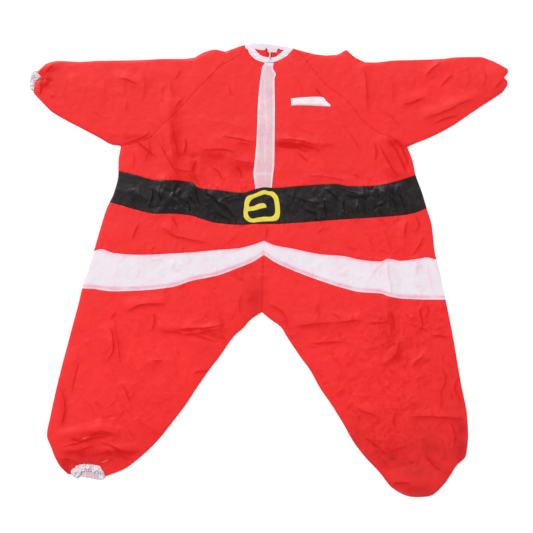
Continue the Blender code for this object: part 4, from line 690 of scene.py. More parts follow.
# Creases: the half width and height in millimetres, how much steeper one side is, and a path in squares.
# Above zero the steeper side is the lower right one. One with a height below zero is a furrow.
Crease = namedtuple("Crease", "wide high lean path")
CREASES = [Crease(wide, high, lean, path) for wide, high, lean, *path in (
    # the right front
    (6, 1.0, 0.5, (-47, 134), (-30, 131), (-14, 128)), (6, 1.1, 0.4, (-69, 120), (-50, 121), (-34, 119)),
    (6, 1.2, -0.5, (-35, 110), (-25, 108), (-15, 107)), (7, -1.3, 0.4, (-33, 103), (-28, 98), (-26, 90)),
    (5, 1.3, 0.6, (-84.5, 132), (-83.5, 124), (-84.5, 116)),
    (6, 1.6, 0.6, (-73.5, 111), (-76, 104), (-77, 98), (-72, 88), (-69, 81)),
    (12, 1.2, 0.3, (-101, 152), (-98, 132), (-96, 115), (-91, 97)),
    (8, -0.9, 0.2, (-98, 150), (-94, 130), (-90, 110)), (6, 1.0, 0.5, (-94, 162), (-91, 167), (-87, 171)),
    (6, 0.9, -0.4, (-61, 191), (-57, 196), (-53, 201)), (5, 0.6, 0.4, (-41, 185), (-40, 180), (-38, 174)),
    (6, 0.7, 0.3, (-33, 127), (-26, 127), (-18, 125)), (14, 0.9, 0.2, (-66, 148), (-44, 147), (-20, 141)),
    (6, 1.0, 0.5, (-58, 104), (-50, 98), (-47, 90)), (5, 0.9, 0.4, (-112, 130), (-104, 116), (-92, 96)),
    (4, 0.8, 0.4, (-136, 131), (-126, 124), (-112, 112)),
    (7, 0.7, 0.3, (-122, 134), (-120, 122), (-124, 108)),
    (7, 0.7, -0.3, (-137, 120), (-134, 111), (-136, 101)),
    (9, 0.7, 0.3, (-110, 142), (-106, 128), (-108, 112)),
    # the left front
    (7, 1.5, 0.6, (7, 128), (18, 127.5), (30, 125.5), (52, 120)),
    (8, -0.9, 0.3, (8, 124), (26, 122), (44, 117)), (6, 1.0, -0.5, (38, 94.5), (58, 93), (78, 89)),
    (6, 0.9, 0.5, (29, 118), (34, 113), (39, 109)), (6, 0.9, 0.4, (46, 183), (49, 179), (52, 174)),
    (8, 0.8, 0.4, (76, 143), (84, 132), (90, 119)),
    (4, 0.9, 0.5, (108, 129), (114, 118), (121, 104), (130, 92)),
    (4, 1.3, 0.6, (118, 131), (126, 120), (132, 108), (138, 94)),
    (4, 0.9, 0.4, (124, 132), (131, 124), (136, 114), (139, 102)),
    (5, 0.8, 0.4, (104, 130), (107, 119), (106, 108)), (6, 0.7, 0.3, (83, 95), (86, 95), (89, 92)),
    (16, 0.9, 0.2, (31, 149), (54, 149), (77, 143)), (9, 0.7, 0.3, (20, 196), (30, 186), (34, 172)),
    (10, 0.7, -0.3, (64, 168), (72, 158), (74, 148)), (9, 0.6, 0.3, (22, 152), (30, 142), (46, 136)),
    (4, 0.9, 0.4, (8, 131), (20, 130.5), (34, 129), (49, 125)),
    (4, 0.8, -0.4, (12, 126), (24, 125), (36, 122.5)),
    # the right sleeve
    (6, 0.7, 0.4, (-94, 189), (-91, 195), (-89, 201)), (6, 1.0, 0.5, (-150, 192), (-142, 190), (-132, 186)),
    (7, 0.7, 0.4, (-99, 191), (-98, 182), (-95, 172)), (7, 0.6, 0.3, (-107, 186), (-107, 178), (-108, 169)),
    (8, 0.7, 0.4, (-144, 189), (-145, 181), (-144, 174)),
    (6, 0.6, 0.4, (-141, 171), (-142, 165), (-142, 159)),
    (5, 0.8, 0.5, (-146, 127), (-137, 129), (-126, 133), (-118, 139)),
    (8, 0.5, 0.3, (-168, 198), (-164, 186), (-166, 172)),
    (9, 0.6, -0.3, (-186, 200), (-182, 186), (-186, 168)),
    (9, 0.6, 0.3, (-205, 201), (-203, 188), (-206, 172)),
    (7, 0.5, 0.3, (-176, 160), (-168, 154), (-158, 152)),
    (7, 0.6, 0.3, (-128, 200), (-124, 186), (-127, 168)),
    (6, 0.8, 0.5, (-224, 198), (-220, 202), (-216, 206)),
    (5, 1.0, 0.5, (-228, 185), (-225, 188), (-221, 193)),
    (5, 0.7, 0.4, (-224, 184), (-222, 186), (-220, 189)),
    (6, -0.8, 0.0, (-220, 187), (-218, 189), (-216, 190)),
    (5, 0.6, 0.3, (-219, 176), (-217, 174), (-214, 174)),
    # the left sleeve
    (6, 1.2, 0.5, (156, 194), (163, 201), (172, 208)), (6, 1.1, 0.5, (172, 184), (177, 190), (183, 195)),
    (6, 1.1, 0.5, (134, 165.5), (144, 168), (156, 172.5)),
    (7, 1.6, 0.6, (156, 150.5), (168, 156), (182, 161), (193, 167), (205, 171.5)),
    (6, 1.0, 0.5, (164, 146), (176, 151), (190, 155.5)),
    (7, 1.1, 0.5, (93, 204), (97, 192), (98, 178), (99, 159)),
    (6, 1.0, 0.4, (236, 193), (231, 188), (226, 181)), (5, 1.2, 0.4, (123, 132), (130, 128), (136, 121)),
    (8, 0.7, 0.3, (118, 196), (124, 184), (122, 168)), (8, 0.6, -0.3, (142, 204), (146, 190), (142, 180)),
    (9, 0.7, 0.3, (196, 204), (200, 192), (196, 180)), (7, 0.7, 0.3, (212, 206), (216, 194), (213, 180)),
    (7, 0.6, 0.3, (110, 160), (122, 154), (132, 144)),
    # the belt
    (6, 1.8, 0.5, (-107, 89), (-110, 80), (-108, 70), (-98, 59)),
    (6, 1.8, 0.6, (-93, 87), (-95, 80), (-97, 71), (-98, 62)),
    (6, 1.7, -0.5, (-74, 86), (-73, 78), (-71, 70), (-68, 64)),
    (5, 1.3, 0.4, (-82, 79), (-79, 72), (-73, 64)),
    (6, 1.4, 0.5, (-66, 79), (-56, 72), (-44, 62), (-31, 52)),
    (5, 1.1, 0.5, (-61, 77), (-50, 69), (-36, 57)), (8, 1.3, 0.4, (-136, 82), (-130, 75), (-122, 69)),
    (8, 1.1, 0.4, (-142, 80), (-136, 76), (-127, 72)), (6, 1.1, 0.4, (-88, 82), (-90, 77), (-89, 71)),
    (6, 1.4, 0.4, (-118, 84), (-117, 74), (-121, 62)), (6, 1.1, 0.4, (-54, 60), (-46, 54), (-38, 49)),
    (6, -1.1, 0.2, (-84, 70), (-80, 64), (-79, 57)), (7, 0.9, 0.3, (24, 74), (36, 70), (48, 66)),
    (6, 1.3, 0.5, (56, 72), (55, 64), (57, 53)), (5, 1.5, 0.5, (57, 82), (62, 77), (68, 72), (70, 69)),
    (6, 1.5, -0.5, (66, 83), (78, 79), (90, 76), (98, 76)),
    (6, 2.0, 0.6, (76, 76), (86, 74), (96, 74), (102, 76)), (6, 1.6, 0.5, (76, 72), (74, 64), (78, 54)),
    (6, 1.7, 0.6, (88, 73), (90, 66), (88, 56)), (6, 1.7, -0.5, (98, 74), (96, 66), (97, 55)),
    (6, 1.5, 0.5, (101, 60), (108, 64), (115, 67), (120, 74)),
    (5, 1.6, 0.5, (116, 83), (118, 76), (123, 71), (127, 60)),
    (6, 1.8, 0.6, (128, 86), (130, 76), (135, 64), (138, 57)),
    (6, 1.5, -0.5, (122, 86), (124, 78), (121, 70)), (5, 1.1, 0.4, (104, 82), (108, 77), (110, 72)),
    (6, 1.1, 0.4, (108, 62), (112, 57), (114, 52)), (6, 1.0, 0.4, (34, 62), (42, 58), (52, 57)),
    (6, 1.0, 0.4, (44, 54), (50, 50), (58, 52)),
    # the skirt
    (7, 1.5, 0.6, (-108, 44), (-100, 38), (-91, 33), (-76, 30), (-62, 27)),
    (6, 1.1, 0.5, (-130, 47), (-133, 40), (-138, 30)), (5, 0.8, 0.4, (-97, 55), (-95, 48), (-92, 42)),
    (6, 1.3, 0.5, (138, 49), (136, 41), (135, 31)), (6, 1.2, 0.5, (154, 34), (150, 24), (143, 14)),
    (6, 0.9, 0.3, (146, 54), (150, 46), (146, 38)), (5, 0.7, 0.3, (-3, 44), (-3, 38), (-4, 31)),
    (8, 0.7, 0.3, (92, 40), (100, 32), (104, 20)), (8, 0.7, 0.3, (112, 44), (118, 34), (122, 18)),
    (8, 0.7, 0.3, (-30, 42), (-34, 34), (-46, 24)),
    # the hem band
    (6, 1.3, 0.5, (116, 9), (108, 2), (102, -8)),
    (6, 1.8, 0.6, (118, 11.5), (119, -2), (121, -14), (122, -27)),
    (6, 1.1, 0.5, (148, 12), (148, 4), (147, -6)), (10, 0.7, 0.3, (-150, 12), (-152, -2), (-148, -18)),
    (10, 0.6, 0.3, (70, 8), (74, -4), (72, -16)), (7, 0.8, 0.3, (158, 8), (160, -6), (164, -24)),
    # the right leg
    (6, 1.8, 0.6, (-143, -41), (-129, -35), (-116, -34), (-103, -34)),
    (6, 0.8, 0.4, (-158, -49), (-156, -45), (-153, -41)),
    (5, 1.1, 0.5, (-164, -55), (-157, -61), (-156, -74), (-157, -84), (-163, -92)),
    (6, 1.0, 0.4, (-116, -41), (-115, -50), (-117, -61)),
    (7, 1.6, 0.5, (-110, -60), (-94, -62), (-79, -64), (-49, -58)),
    (6, 1.2, 0.5, (-75, -64), (-66, -67), (-53, -72)), (5, 0.8, 0.4, (-118, -91), (-112, -91), (-105, -90)),
    (6, 1.0, 0.4, (-77, -104), (-70, -101), (-60, -100)),
    (6, 1.5, 0.5, (-150, -112), (-143, -121), (-138, -134)),
    (6, 1.2, 0.5, (-200, -166), (-192, -169), (-184, -170), (-169, -161), (-149, -166)),
    (6, 1.5, 0.5, (-204, -182), (-190, -180), (-175, -176)),
    (5, 0.9, -0.4, (-176, -186), (-160, -182), (-148, -184), (-130, -181)),
    (6, 1.3, 0.5, (-164, -179), (-152, -184), (-138, -189)),
    (7, 1.3, 0.5, (-211, -115), (-205, -126), (-204, -138), (-208, -157)),
    (10, 0.9, 0.3, (-96, -126), (-110, -132), (-128, -130)),
    (9, 0.8, -0.3, (-186, -128), (-176, -138), (-174, -150)),
    (9, 0.8, 0.3, (-130, -150), (-118, -158), (-112, -164)),
    (8, 0.7, 0.3, (-60, -36), (-66, -48), (-80, -52)), (7, 0.8, 0.3, (-26, -22), (-30, -36), (-26, -48)),
    (5, 0.6, 0.4, (-155, -50), (-152, -66), (-150, -84), (-148, -96)),
    (7, -1.0, 0.0, (-190, -92), (-194, -108), (-197, -124)),
    (5, 0.9, 0.4, (-94, -60), (-78, -58), (-60, -57), (-44, -53)),
    (4, 0.8, -0.4, (-64, -64), (-54, -66), (-42, -70)),
    # the left leg
    (7, 1.6, 0.5, (-2, -33), (8, -38), (16, -44), (19, -59)),
    (4, 0.9, 0.4, (26, -56), (46, -54), (66, -52)), (4, 0.9, 0.4, (64, -52.5), (78, -51), (94, -50.5)),
    (4, 1.0, 0.4, (97, -53), (110, -52.5), (121, -50.5)), (5, 1.4, 0.5, (117, -39), (121, -50), (122, -66)),
    (5, 1.2, -0.4, (121, -39), (125, -50), (126, -63)),
    (6, 1.3, 0.5, (130, -67), (129, -80), (124, -88), (116, -94)),
    (6, 1.3, 0.5, (154, -86), (149, -90), (143, -97)), (6, 1.2, 0.5, (87, -137), (96, -142), (106, -145)),
    (4, 1.0, 0.4, (138, -146), (158, -146.5), (178, -147.5), (195, -149.5)),
    (4, 0.8, 0.4, (159, -64), (170, -66), (183, -67)), (4, 0.8, 0.4, (38, -74), (54, -72.5), (74, -71.5)),
    (4, 0.9, 0.4, (128, -138), (124, -150), (127, -160)),
    (5, 0.8, -0.4, (116, -186), (126, -180), (138, -176)),
    (5, 0.9, 0.4, (94, -166), (106, -174), (118, -186)),
    (4, 0.9, 0.4, (124, -214), (134, -212), (142, -213)),
    (4, 0.8, 0.4, (180, -150), (186, -164), (184, -180)),
    (5, 0.8, 0.4, (172, -96), (176, -110), (170, -128)),
    (4, 0.8, 0.4, (190, -104), (186, -118), (192, -134)), (4, 0.7, 0.3, (140, -53), (146, -55), (150, -53)),
    (4, 0.7, 0.3, (146, -59), (152, -58), (158, -60)), (9, 0.8, 0.3, (60, -84), (70, -94), (72, -108)),
    (9, 0.8, 0.3, (104, -104), (112, -116), (110, -130)),
    (9, 0.8, -0.3, (150, -112), (160, -120), (178, -122)),
    (9, 0.9, 0.3, (96, -160), (104, -172), (104, -186)),
    (9, 0.8, 0.3, (170, -170), (176, -184), (172, -198)), (7, 0.7, 0.3, (46, -34), (50, -44), (46, -52)),
    (4, 0.6, 0.3, (51, -74), (62, -73), (76, -71)),
    (4, 1.1, 0.4, (152, -36), (150, -44), (153, -52), (150, -62)),
    (4, 0.9, -0.4, (158, -34), (160, -42), (156, -50)),
    (8, 0.9, 0.3, (169, -112), (172, -128), (169, -144)),
    (5, 0.9, 0.4, (156, -185), (161, -190), (165, -195)),
    (5, 0.9, -0.4, (160, -192), (166, -197), (172, -201)),
    # beside the frills of the ankle and the wrist
    (5, 1.6, 0.6, (-207, -188.5), (-198, -190.5), (-189, -193.5)),
    (5, 1.6, -0.6, (-170, -193.5), (-163, -191), (-158, -188.5)),
    (5, 1.4, 0.6, (-206, -176), (-190, -172), (-176, -168), (-160, -165)),
    (5, 0.9, 0.5, (-170, -172), (-156, -176), (-146, -181), (-132, -184)),
    (5, 1.7, 0.6, (-231, 190.5), (-228.5, 184), (-229, 175)),
    (4, 1.3, -0.5, (-223, 190), (-224.5, 186.5), (-226, 183)),
)]

# Crumpled places: how far they spread, how many creases they have, the length of the longest in squares,
# their half width and height in millimetres, and how they run in degrees
Rumple = namedtuple("Rumple", "across up wide tall count longest half high turn scatter")
RUMPLES = [Rumple(*row) for row in (
    # broad soft facets
    (-60, 150, 40, 40, 20, 44, 16, 0.30, 10, 70), (60, 150, 40, 40, 22, 44, 16, 0.30, -10, 70),
    (-165, 185, 45, 15, 14, 34, 13, 0.35, 80, 60), (165, 185, 45, 15, 16, 36, 13, 0.40, 50, 60),
    (0, 35, 100, 14, 16, 36, 12, 0.70, 90, 60), (0, 0, 110, 10, 12, 28, 11, 0.60, 90, 50),
    (-120, -100, 45, 50, 30, 40, 12, 0.90, 100, 70), (125, -110, 45, 55, 60, 36, 10, 1.00, 60, 80),
    # fine creases
    (-56, 142, 28, 32, 40, 14, 5, 0.22, 20, 60), (52, 142, 30, 32, 50, 14, 5, 0.26, -10, 60),
    (26, 127, 15, 4, 26, 8, 4, 0.60, -5, 40), (-160, 184, 36, 12, 30, 14, 5, 0.22, 90, 50),
    (160, 184, 38, 12, 44, 14, 5, 0.30, 40, 50), (-70, 36, 50, 10, 34, 12, 5, 0.32, 150, 50),
    (84, 34, 45, 10, 34, 12, 5, 0.32, 70, 50), (-75, 0, 50, 9, 60, 13, 3.6, 0.85, 90, 60),
    (95, 0, 45, 10, 70, 13, 3.6, 0.95, 90, 50), (-128, -84, 32, 34, 70, 15, 3.6, 0.60, 110, 50),
    (-140, -150, 26, 18, 60, 14, 3.6, 0.70, 90, 50), (-60, -48, 24, 12, 40, 11, 5, 0.50, 20, 50),
    (40, -70, 28, 20, 34, 14, 4, 0.50, 0, 50), (122, -96, 36, 34, 190, 13, 3.2, 0.95, 60, 60),
    (112, -150, 26, 26, 110, 12, 3.2, 0.90, 110, 60), (150, -52, 18, 11, 70, 9, 4, 0.90, 80, 60),
    (116, -176, 13, 12, 70, 9, 4, 0.80, 130, 40), (154, -178, 22, 18, 50, 16, 4, 0.70, 110, 30),
    # the belt
    (-95, 70, 26, 10, 40, 22, 8, 1.30, 105, 30), (50, 66, 20, 7, 24, 22, 8, 1.20, 30, 50),
    (108, 70, 18, 9, 44, 20, 8, 1.40, 100, 45), (0, 68, 100, 9, 170, 13, 3.6, 1.00, 100, 50),
)]

# Painted shade over broad places: the middle in squares, how far they reach, how much painted shade each gets
# in its folds as a darker red, and how much painted shade darkens its whole colour (below zero: painted light)
PaintedShade = namedtuple("PaintedShade", "across up wide tall red shade")
PAINTED_SHADES = [PaintedShade(*row) for row in (
    # the feet and legs
    (160, -195, 70, 45, 0.10, 0.80), (185, -110, 26, 60, 0.05, 0.35), (-180, -190, 44, 18, 0.25, 0.45),
    (-120, -80, 70, 70, 0.0, -0.22), (118, -60, 10, 30, 0.20, 0.20), (152, -178, 26, 9, 0.15, 0.30),
    (-105, -165, 30, 8, 0.20, 0.0),
    # the right front
    (-93, 118, 6, 34, 0.60, 0.05), (-76, 100, 4, 14, 0.60, 0.05), (-52, 113, 20, 2.6, 0.35, 0.0),
    (-58, 108, 16, 6, 0.45, 0.0), (-33, 102, 7, 11, 0.55, 0.10), (-84, 92, 20, 6, 0.35, 0.0),
    (-97, 150, 5, 16, 0.35, 0.0), (-64, 116, 22, 3, 0.40, 0.0), (-20, 104, 6, 5, 0.45, 0.0),
    (-122, 112, 6, 14, 0.30, 0.0), (-144, 128, 22, 5, 0.25, 0.0), (-132, 133, 14, 2.6, 0.45, 0.0),
    # the left front
    (20, 125.5, 26, 3.5, 0.85, 0.10), (48, 124, 22, 3.0, 0.35, 0.0), (132, 104, 9, 22, 0.35, 0.0),
    (60, 97, 40, 5, 0.25, 0.0), (118, 110, 8, 12, 0.30, 0.0), (124, 127, 6, 4, 0.80, 0.15),
    # the right wrist
    (-227, 188, 3.5, 9, 0.60, 0.0), (-219, 191, 7, 10, 0.50, 0.15), (-213, 200, 8, 5, 0.35, 0.10),
    (-222, 191, 4, 2, 0.50, 0.0),
    # the right foot
    (-172, -164, 13, 2.6, 0.75, 0.25), (-188, -170, 9, 2.2, 0.60, 0.20), (-150, -182, 16, 3.0, 0.60, 0.20),
    (-192, -184, 12, 4.0, 0.45, 0.25), (-204, -196, 5, 10, 0.40, 0.40), (-206, -140, 4, 18, 0.35, 0.10),
    # the right leg
    (-78, -60, 26, 3.0, 0.45, 0.10), (-14, -28, 9, 16, 0.45, 0.55), (-48, -50, 4, 12, 0.35, 0.10),
    # the left leg
    (124, -190, 22, 9, 0.20, 0.55), (86, -170, 12, 22, 0.10, 0.45), (192, -165, 5, 30, 0.35, 0.50),
    (128, -84, 5, 10, 0.45, 0.10), (140, -218, 22, 6, 0.25, 0.45), (40, -48, 60, 18, 0.0, 0.12),
)]


def neck_seam(side):
    """The collar's seam on the front, from the raglan seam to the zip."""
    return smooth_line(FRONT_COLLAR_SEAM_RIGHT if side == "right" else FRONT_COLLAR_SEAM_LEFT, NECK_COLUMNS)


def zip_across(up):
    """Where the zip runs at a height."""
    line = np.array(ZIP_LINE)
    return read(line[:, 1], line[:, 0], up)


BELT_MIDDLE = float(zip_across(ZIP_LINE[-1][1]))
HALF_COLUMNS = NECK_COLUMNS + RAGLAN_COLUMNS


def half_seam(table, edge, side, inner_across):
    """A seam from the side of the body to a place near its middle."""
    across = np.linspace(side_of_seam(table, edge, side)[0], inner_across, HALF_COLUMNS + 1)
    return np.column_stack([across, seam_up(table, edge, across)])


def ankle_line():
    """The lower edge of the front of the right leg, where its cuff is sewn on, from outside to inside."""
    end = LEG_SIDE_END["right"]
    seam = np.array(ANKLE_SEAM)
    across = np.linspace(trace(BODY_SIDES, "up", "right", end), INNER_LEGS[-1].right, HALF_COLUMNS + 1)
    line = np.column_stack([across, read(seam[:, 0], seam[:, 1], across)])
    line[0, 1], line[-1, 1] = end, INNER_LEGS[-1].up
    return line


def stepped(line):
    """A line in metres, from squares, with its points a step apart."""
    line = place(line)
    return even(line, max(round(travelled(line)[-1] / LINE_STEP), 4))


right_under, right_over = (abs(point[0]) for point in (WRIST_LINE[0], WRIST_LINE[-1]))
left_under, left_over = LEFT_SLEEVE_END[0][0], LEFT_SLEEVE_END[-1][0]
waist, foot_up = BODY_SIDES[0].up, INNER_LEGS[-1].up
side_edges = [
    smooth_line(WRIST_LINE, 60),
    sleeve_line(SLEEVE_TOPS, "right", right_over, NECK_OUT, 80),
    sleeve_line(SLEEVE_TOPS, "left", NECK_OUT, left_over, 80),
    smooth_line(LEFT_SLEEVE_END[::-1], 40),
    sleeve_line(SLEEVE_UNDERSIDES, "left", left_under, UNDERARM_OUT["left"], 60),
    side_line(BODY_SIDES, "left", waist, LEG_SIDE_END["left"], 160),
    smooth_line(LEFT_LEG_END[::-1], 60),
    side_line(INNER_LEGS, "left", foot_up, CROTCH[1], 100),
    side_line(INNER_LEGS, "right", CROTCH[1], foot_up, 100),
    ankle_line()[::-1],
    side_line(BODY_SIDES, "right", LEG_SIDE_END["right"], waist, 160),
    sleeve_line(SLEEVE_UNDERSIDES, "right", UNDERARM_OUT["right"], right_under, 60),
]
collar_edges = [neck_seam("right"), neck_seam("left")]
SIDE_TREE = line_tree(np.vstack([stepped(line) for line in side_edges]))
EDGE_TREE = line_tree(np.vstack([stepped(line) for line in side_edges + collar_edges]))

Seam = namedtuple("Seam", "line pucker reach seed")
SEAMS = [Seam(stepped(raglan(side, 200)), 1.0, 0.010, seed) for side, seed in (("right", 11), ("left", 12))]
for side, seed in (("right", 20), ("left", 30)):
    SEAMS += [Seam(stepped(half_seam(BELT, "top", side, BELT_MIDDLE)), 1.3, 0.013, seed),
              Seam(stepped(half_seam(BELT, "bottom", side, BELT_MIDDLE)), 1.5, 0.016, seed + 1),
              Seam(stepped(half_seam(HEM_HALF[side], "top", side, HEM_PEAK)), 1.2, 0.013, seed + 2),
              Seam(stepped(half_seam(HEM_HALF[side], "bottom", side, HEM_PEAK)), 1.2, 0.013, seed + 3),
              Seam(stepped(neck_seam(side)), 1.5, 0.012, seed + 4)]
SEAMS.append(Seam(stepped([(HEM_PEAK, peak["top"][1]), CROTCH]), 1.6, 0.014, 40))

Gather = namedtuple("Gather", "line count high reach seed")
GATHERS = (
    Gather(stepped(ankle_line()), 15, 0.0019, 0.026, 51),
    Gather(stepped(smooth_line(WRIST_LINE, 60)), 9, 0.0016, 0.022, 52),
    Gather(stepped(smooth_line(LEFT_LEG_END, 60)), 34, 0.0011, 0.020, 53),
    Gather(stepped(smooth_line(LEFT_SLEEVE_END, 40)), 15, 0.0011, 0.018, 54),
)


def near_line(points, line, reach):
    """Which points are in a box round a line."""
    low, high = line.min(axis=0) - reach, line.max(axis=0) + reach
    return np.flatnonzero(np.all((points > low) & (points < high), axis=1))


def off_path(points, path):
    """Distance from a short path, on which side of it, and the share of its length passed."""
    start, run = path[:-1], np.diff(path, axis=0)
    length = np.linalg.norm(run, axis=1)
    offset = points[:, None] - start[None]
    share = np.clip(np.sum(offset * run, axis=2) / length**2, 0, 1)
    gap = offset - share[:, :, None] * run
    away = np.linalg.norm(gap, axis=2)
    best = np.argmin(away, axis=1)
    rows = np.arange(len(points))
    passed = (np.cumsum(length) - length)[best] + share[rows, best] * length[best]
    turn = run[best, 0] * offset[rows, best, 1] - run[best, 1] * offset[rows, best, 0]
    return away[rows, best], np.sign(turn), np.clip(passed / length.sum(), 0, 1)


def short_creases(rumples):
    """The creases of crumpled places, nearly straight, each with its own place, length and direction."""
    rows = []
    for seed, rumple in enumerate(rumples):
        chance = np.random.default_rng(300 + seed)
        for _ in range(rumple.count):
            middle = chance.normal((rumple.across, rumple.up), (rumple.wide, rumple.tall))
            turn = math.radians(rumple.turn + chance.normal(0, rumple.scatter))
            half = chance.uniform(0.3, 1.0) * rumple.longest / 2
            run = half * np.array([math.cos(turn), math.sin(turn)])
            bow = chance.normal(0, 0.10 * half) * np.array([-math.sin(turn), math.cos(turn)])
            wide, high = chance.uniform(0.7, 1.3) * rumple.half, chance.uniform(0.35, 1.0) * rumple.high
            lean = chance.uniform(-0.3, 0.7)
            rows.append(Crease(wide, high, lean, (middle - run, middle + bow, middle + run)))
    return rows


def crease_maps():
    """Height that folds and creases add on a square grid over the suit, and their painted shade from 0 to 1."""
    corner_low, corner_high = place([MAP_LOW, MAP_HIGH])
    count = np.ceil((corner_high - corner_low) / MAP_STEP).astype(int)
    rise, lines = np.zeros(count), np.zeros(count)
    folds = [Crease(fold.wide, FOLD_SHARE * fold.high, None,
                    [(fold.across, fold.up), (fold.to_across, fold.to_up)]) for fold in FOLDS]
    shaded = [(crease, 1.0) for crease in folds + CREASES]
    shaded += [(crease, SHORT_SHADE) for crease in short_creases(RUMPLES)]
    for crease, shade in shaded:
        steps = 6 if len(crease.path) > 2 else 1
        path = place(smooth_line(crease.path, steps * (len(crease.path) - 1)))
        wide, high = crease.wide / 1000, crease.high / 1000
        reach = FOLD_REACH * wide if crease.lean is None else CREASE_REACH * wide * CREASE_SPREAD
        first = np.clip(np.floor((path.min(axis=0) - reach - corner_low) / MAP_STEP).astype(int), 0, count - 1)
        last = np.clip(np.ceil((path.max(axis=0) + reach - corner_low) / MAP_STEP).astype(int), 1, count)
        i, j = np.meshgrid(np.arange(first[0], last[0]), np.arange(first[1], last[1]), indexing="ij")
        points = corner_low + MAP_STEP * np.column_stack([i.ravel(), j.ravel()])
        away, side, share = off_path(points, path)
        window = slice(first[0], last[0]), slice(first[1], last[1])
        if crease.lean is None:
            rise[window] += (high * np.exp(-(away / wide)**2)).reshape(i.shape)
            continue
        run = path[-1] - path[0]
        side = side * math.copysign(1, UPPER_LEFT[1] * run[0] - UPPER_LEFT[0] * run[1])
        fade = (4 * share * (1 - share))**CREASE_ENDS
        form = CREASE_GAIN * high * fade * np.exp(-away / (wide * CREASE_SPREAD * (1 + side * crease.lean)))
        rise[window] += form.reshape(i.shape)
        # The dark line at a crease's foot, and the skirt below it on the steep side, are painted shade.
        depth = min(abs(crease.high) / FULL_LINE_HIGH, 1.0) * min((FULL_LINE_WIDE / crease.wide)**2, 1.0)
        lower = side * math.copysign(1, crease.lean) < 0
        line = LINE_DARK * np.exp(-(away / LINE_WIDE)**2) + SKIRT_DARK * lower * np.exp(-away / SKIRT_WIDE)
        lines[window] = np.maximum(lines[window], (shade * depth * fade * line).reshape(i.shape))
    return rise, lines


CREASE_RISE, CREASE_LINES = crease_maps()


def sampled(field, points):
    """The value of a map at each point."""
    cell = np.clip((points - place([MAP_LOW])[0]) / MAP_STEP, 0, np.array(field.shape) - 2)
    i, j = cell.astype(int).T
    return blended(field, i, j, i + 1, j + 1, cell - cell.astype(int))


def near_lines(points, runs, spread):
    """For each seam or row of gathers: the points near it, how far away they are, and the nearest point there."""
    for run in runs:
        chosen = near_line(points, run.line, spread * run.reach)
        if len(chosen):
            yield (run, chosen, *nearest(line_tree(run.line), points[chosen]))


def seam_relief(points):
    """A dip with stitching puckers along each seam, and how near each point is to one, for painted shade."""
    total, lines = np.zeros(len(points)), np.zeros(len(points))
    for seam, chosen, away, number in near_lines(points, SEAMS, SEAM_SPREAD):
        along = np.column_stack([number * LINE_STEP, np.zeros(len(number))])
        waves = value_noise(along, PUCKER_SIZE, seam.seed)
        waves += FINE_PUCKER * value_noise(along, PUCKER_SIZE / FINER, seam.seed + 1)
        reach = seam.reach * (0.7 + 0.5 * value_noise(along, PUCKER_CHANGE, seam.seed + 2))
        total[chosen] += PUCKER * seam.pucker * waves * np.exp(-away / reach)
        total[chosen] -= SEAM_DIP * np.exp(-(away / SEAM_DIP_WIDE)**2)
        line = (0.75 + 0.25 * waves / (1 + FINE_PUCKER)) * np.exp(-(away / SEAM_LINE_WIDE)**2)
        lines[chosen] = np.maximum(lines[chosen], line)
    return total, lines


def gathers(points):
    """The gathers that run into the cuffs and the turned-in ends, uneven in width and in length."""
    total = np.zeros(len(points))
    for gather, chosen, away, number in near_lines(points, GATHERS, GATHER_SPREAD):
        share = number / len(gather.line)
        lean = GATHER_LEAN * value_noise(points[chosen], GATHER_CHANGE, gather.seed + 2) * away / gather.reach
        along = np.column_stack([(share + lean / gather.count) * gather.count, np.zeros(len(share))])
        reach = gather.reach * (0.75 + 0.6 * value_noise(along, 1.1, gather.seed + 1))
        waves = 1 - np.abs(value_noise(along, 0.62, gather.seed)) * 1.6
        total[chosen] += gather.high * np.clip(waves, -0.2, 1) * np.exp(-(away / reach)**1.2)
    return total


def hollows(top):
    """How far each place of a grid lies below those round it, from 0 to 1."""
    around = np.pad(top, 2, mode="edge")
    mean = np.lib.stride_tricks.sliding_window_view(around, (5, 5)).mean(axis=(2, 3))
    return np.clip((mean - top) / HOLLOW_DEPTH, 0, 1)


def painted_shade(points, what):
    """Painted shade at each point: with red, towards the darker red of folds; with shade, over the whole colour.
    """
    total = np.zeros(len(points))
    for spot in PAINTED_SHADES:
        middle = place([(spot.across, spot.up)])[0]
        offset = (points - middle) / (SQUARE * np.array([spot.wide, spot.tall]))
        total += getattr(spot, what) * np.exp(-np.sum(offset**2, axis=1))
    return total * (1 + 0.5 * value_noise(points, 0.030, 45))


def front_face(grid):
    """Height of the upper face of the front layer over a grid, and how much painted shade each place gets."""
    points = grid.reshape(-1, 2)
    edge, side = nearest(EDGE_TREE, points)[0], nearest(SIDE_TREE, points)[0]
    wander = np.column_stack([value_noise(points, WANDER_SIZE, 5), value_noise(points, WANDER_SIZE, 6)])
    led = points + WANDER * wander
    fade = np.clip(edge / FOLD_FADE, 0, 1)
    seam_rise, seam_lines = seam_relief(points)
    rise = SWELL * (1 - np.exp(-edge / SWELL_REACH))
    rise += fade * (sampled(CREASE_RISE, led) + rippled(points, FRONT_RIPPLES))
    rise += seam_rise + gathers(points)
    top = FRONT_LEVEL + np.maximum(rise, -TROUGH)
    top = SIDE_TOP + (top - SIDE_TOP) * (1 - np.exp(-side / SIDE_REACH))
    top = top.reshape(grid.shape[:2])
    # Painted shade: crease and seam lines, broad fold shade as a darker red, and more in the hollows.
    lines = np.maximum(sampled(CREASE_LINES, led), SEAM_SHADE * seam_lines) + painted_shade(points, "red")
    return top, np.clip(lines.reshape(top.shape) + HOLLOW_SHARE * hollows(top), 0, 1)


def front_top(grid):
    """Height alone of the upper face of the front layer."""
    return front_face(grid)[0]


def front_piece(node, grid, material):
    """A piece of the front layer, from its flat grid."""
    top, hollow = front_face(grid)
    # Both masks are painted shade in the cloth's colour.
    masks = {"hollow": [hollow], "shade": [painted_shade(grid.reshape(-1, 2), "shade")]}
    state_cut(make_piece(node, [cloth_wall(grid, top)], material, masks=masks), [grid])


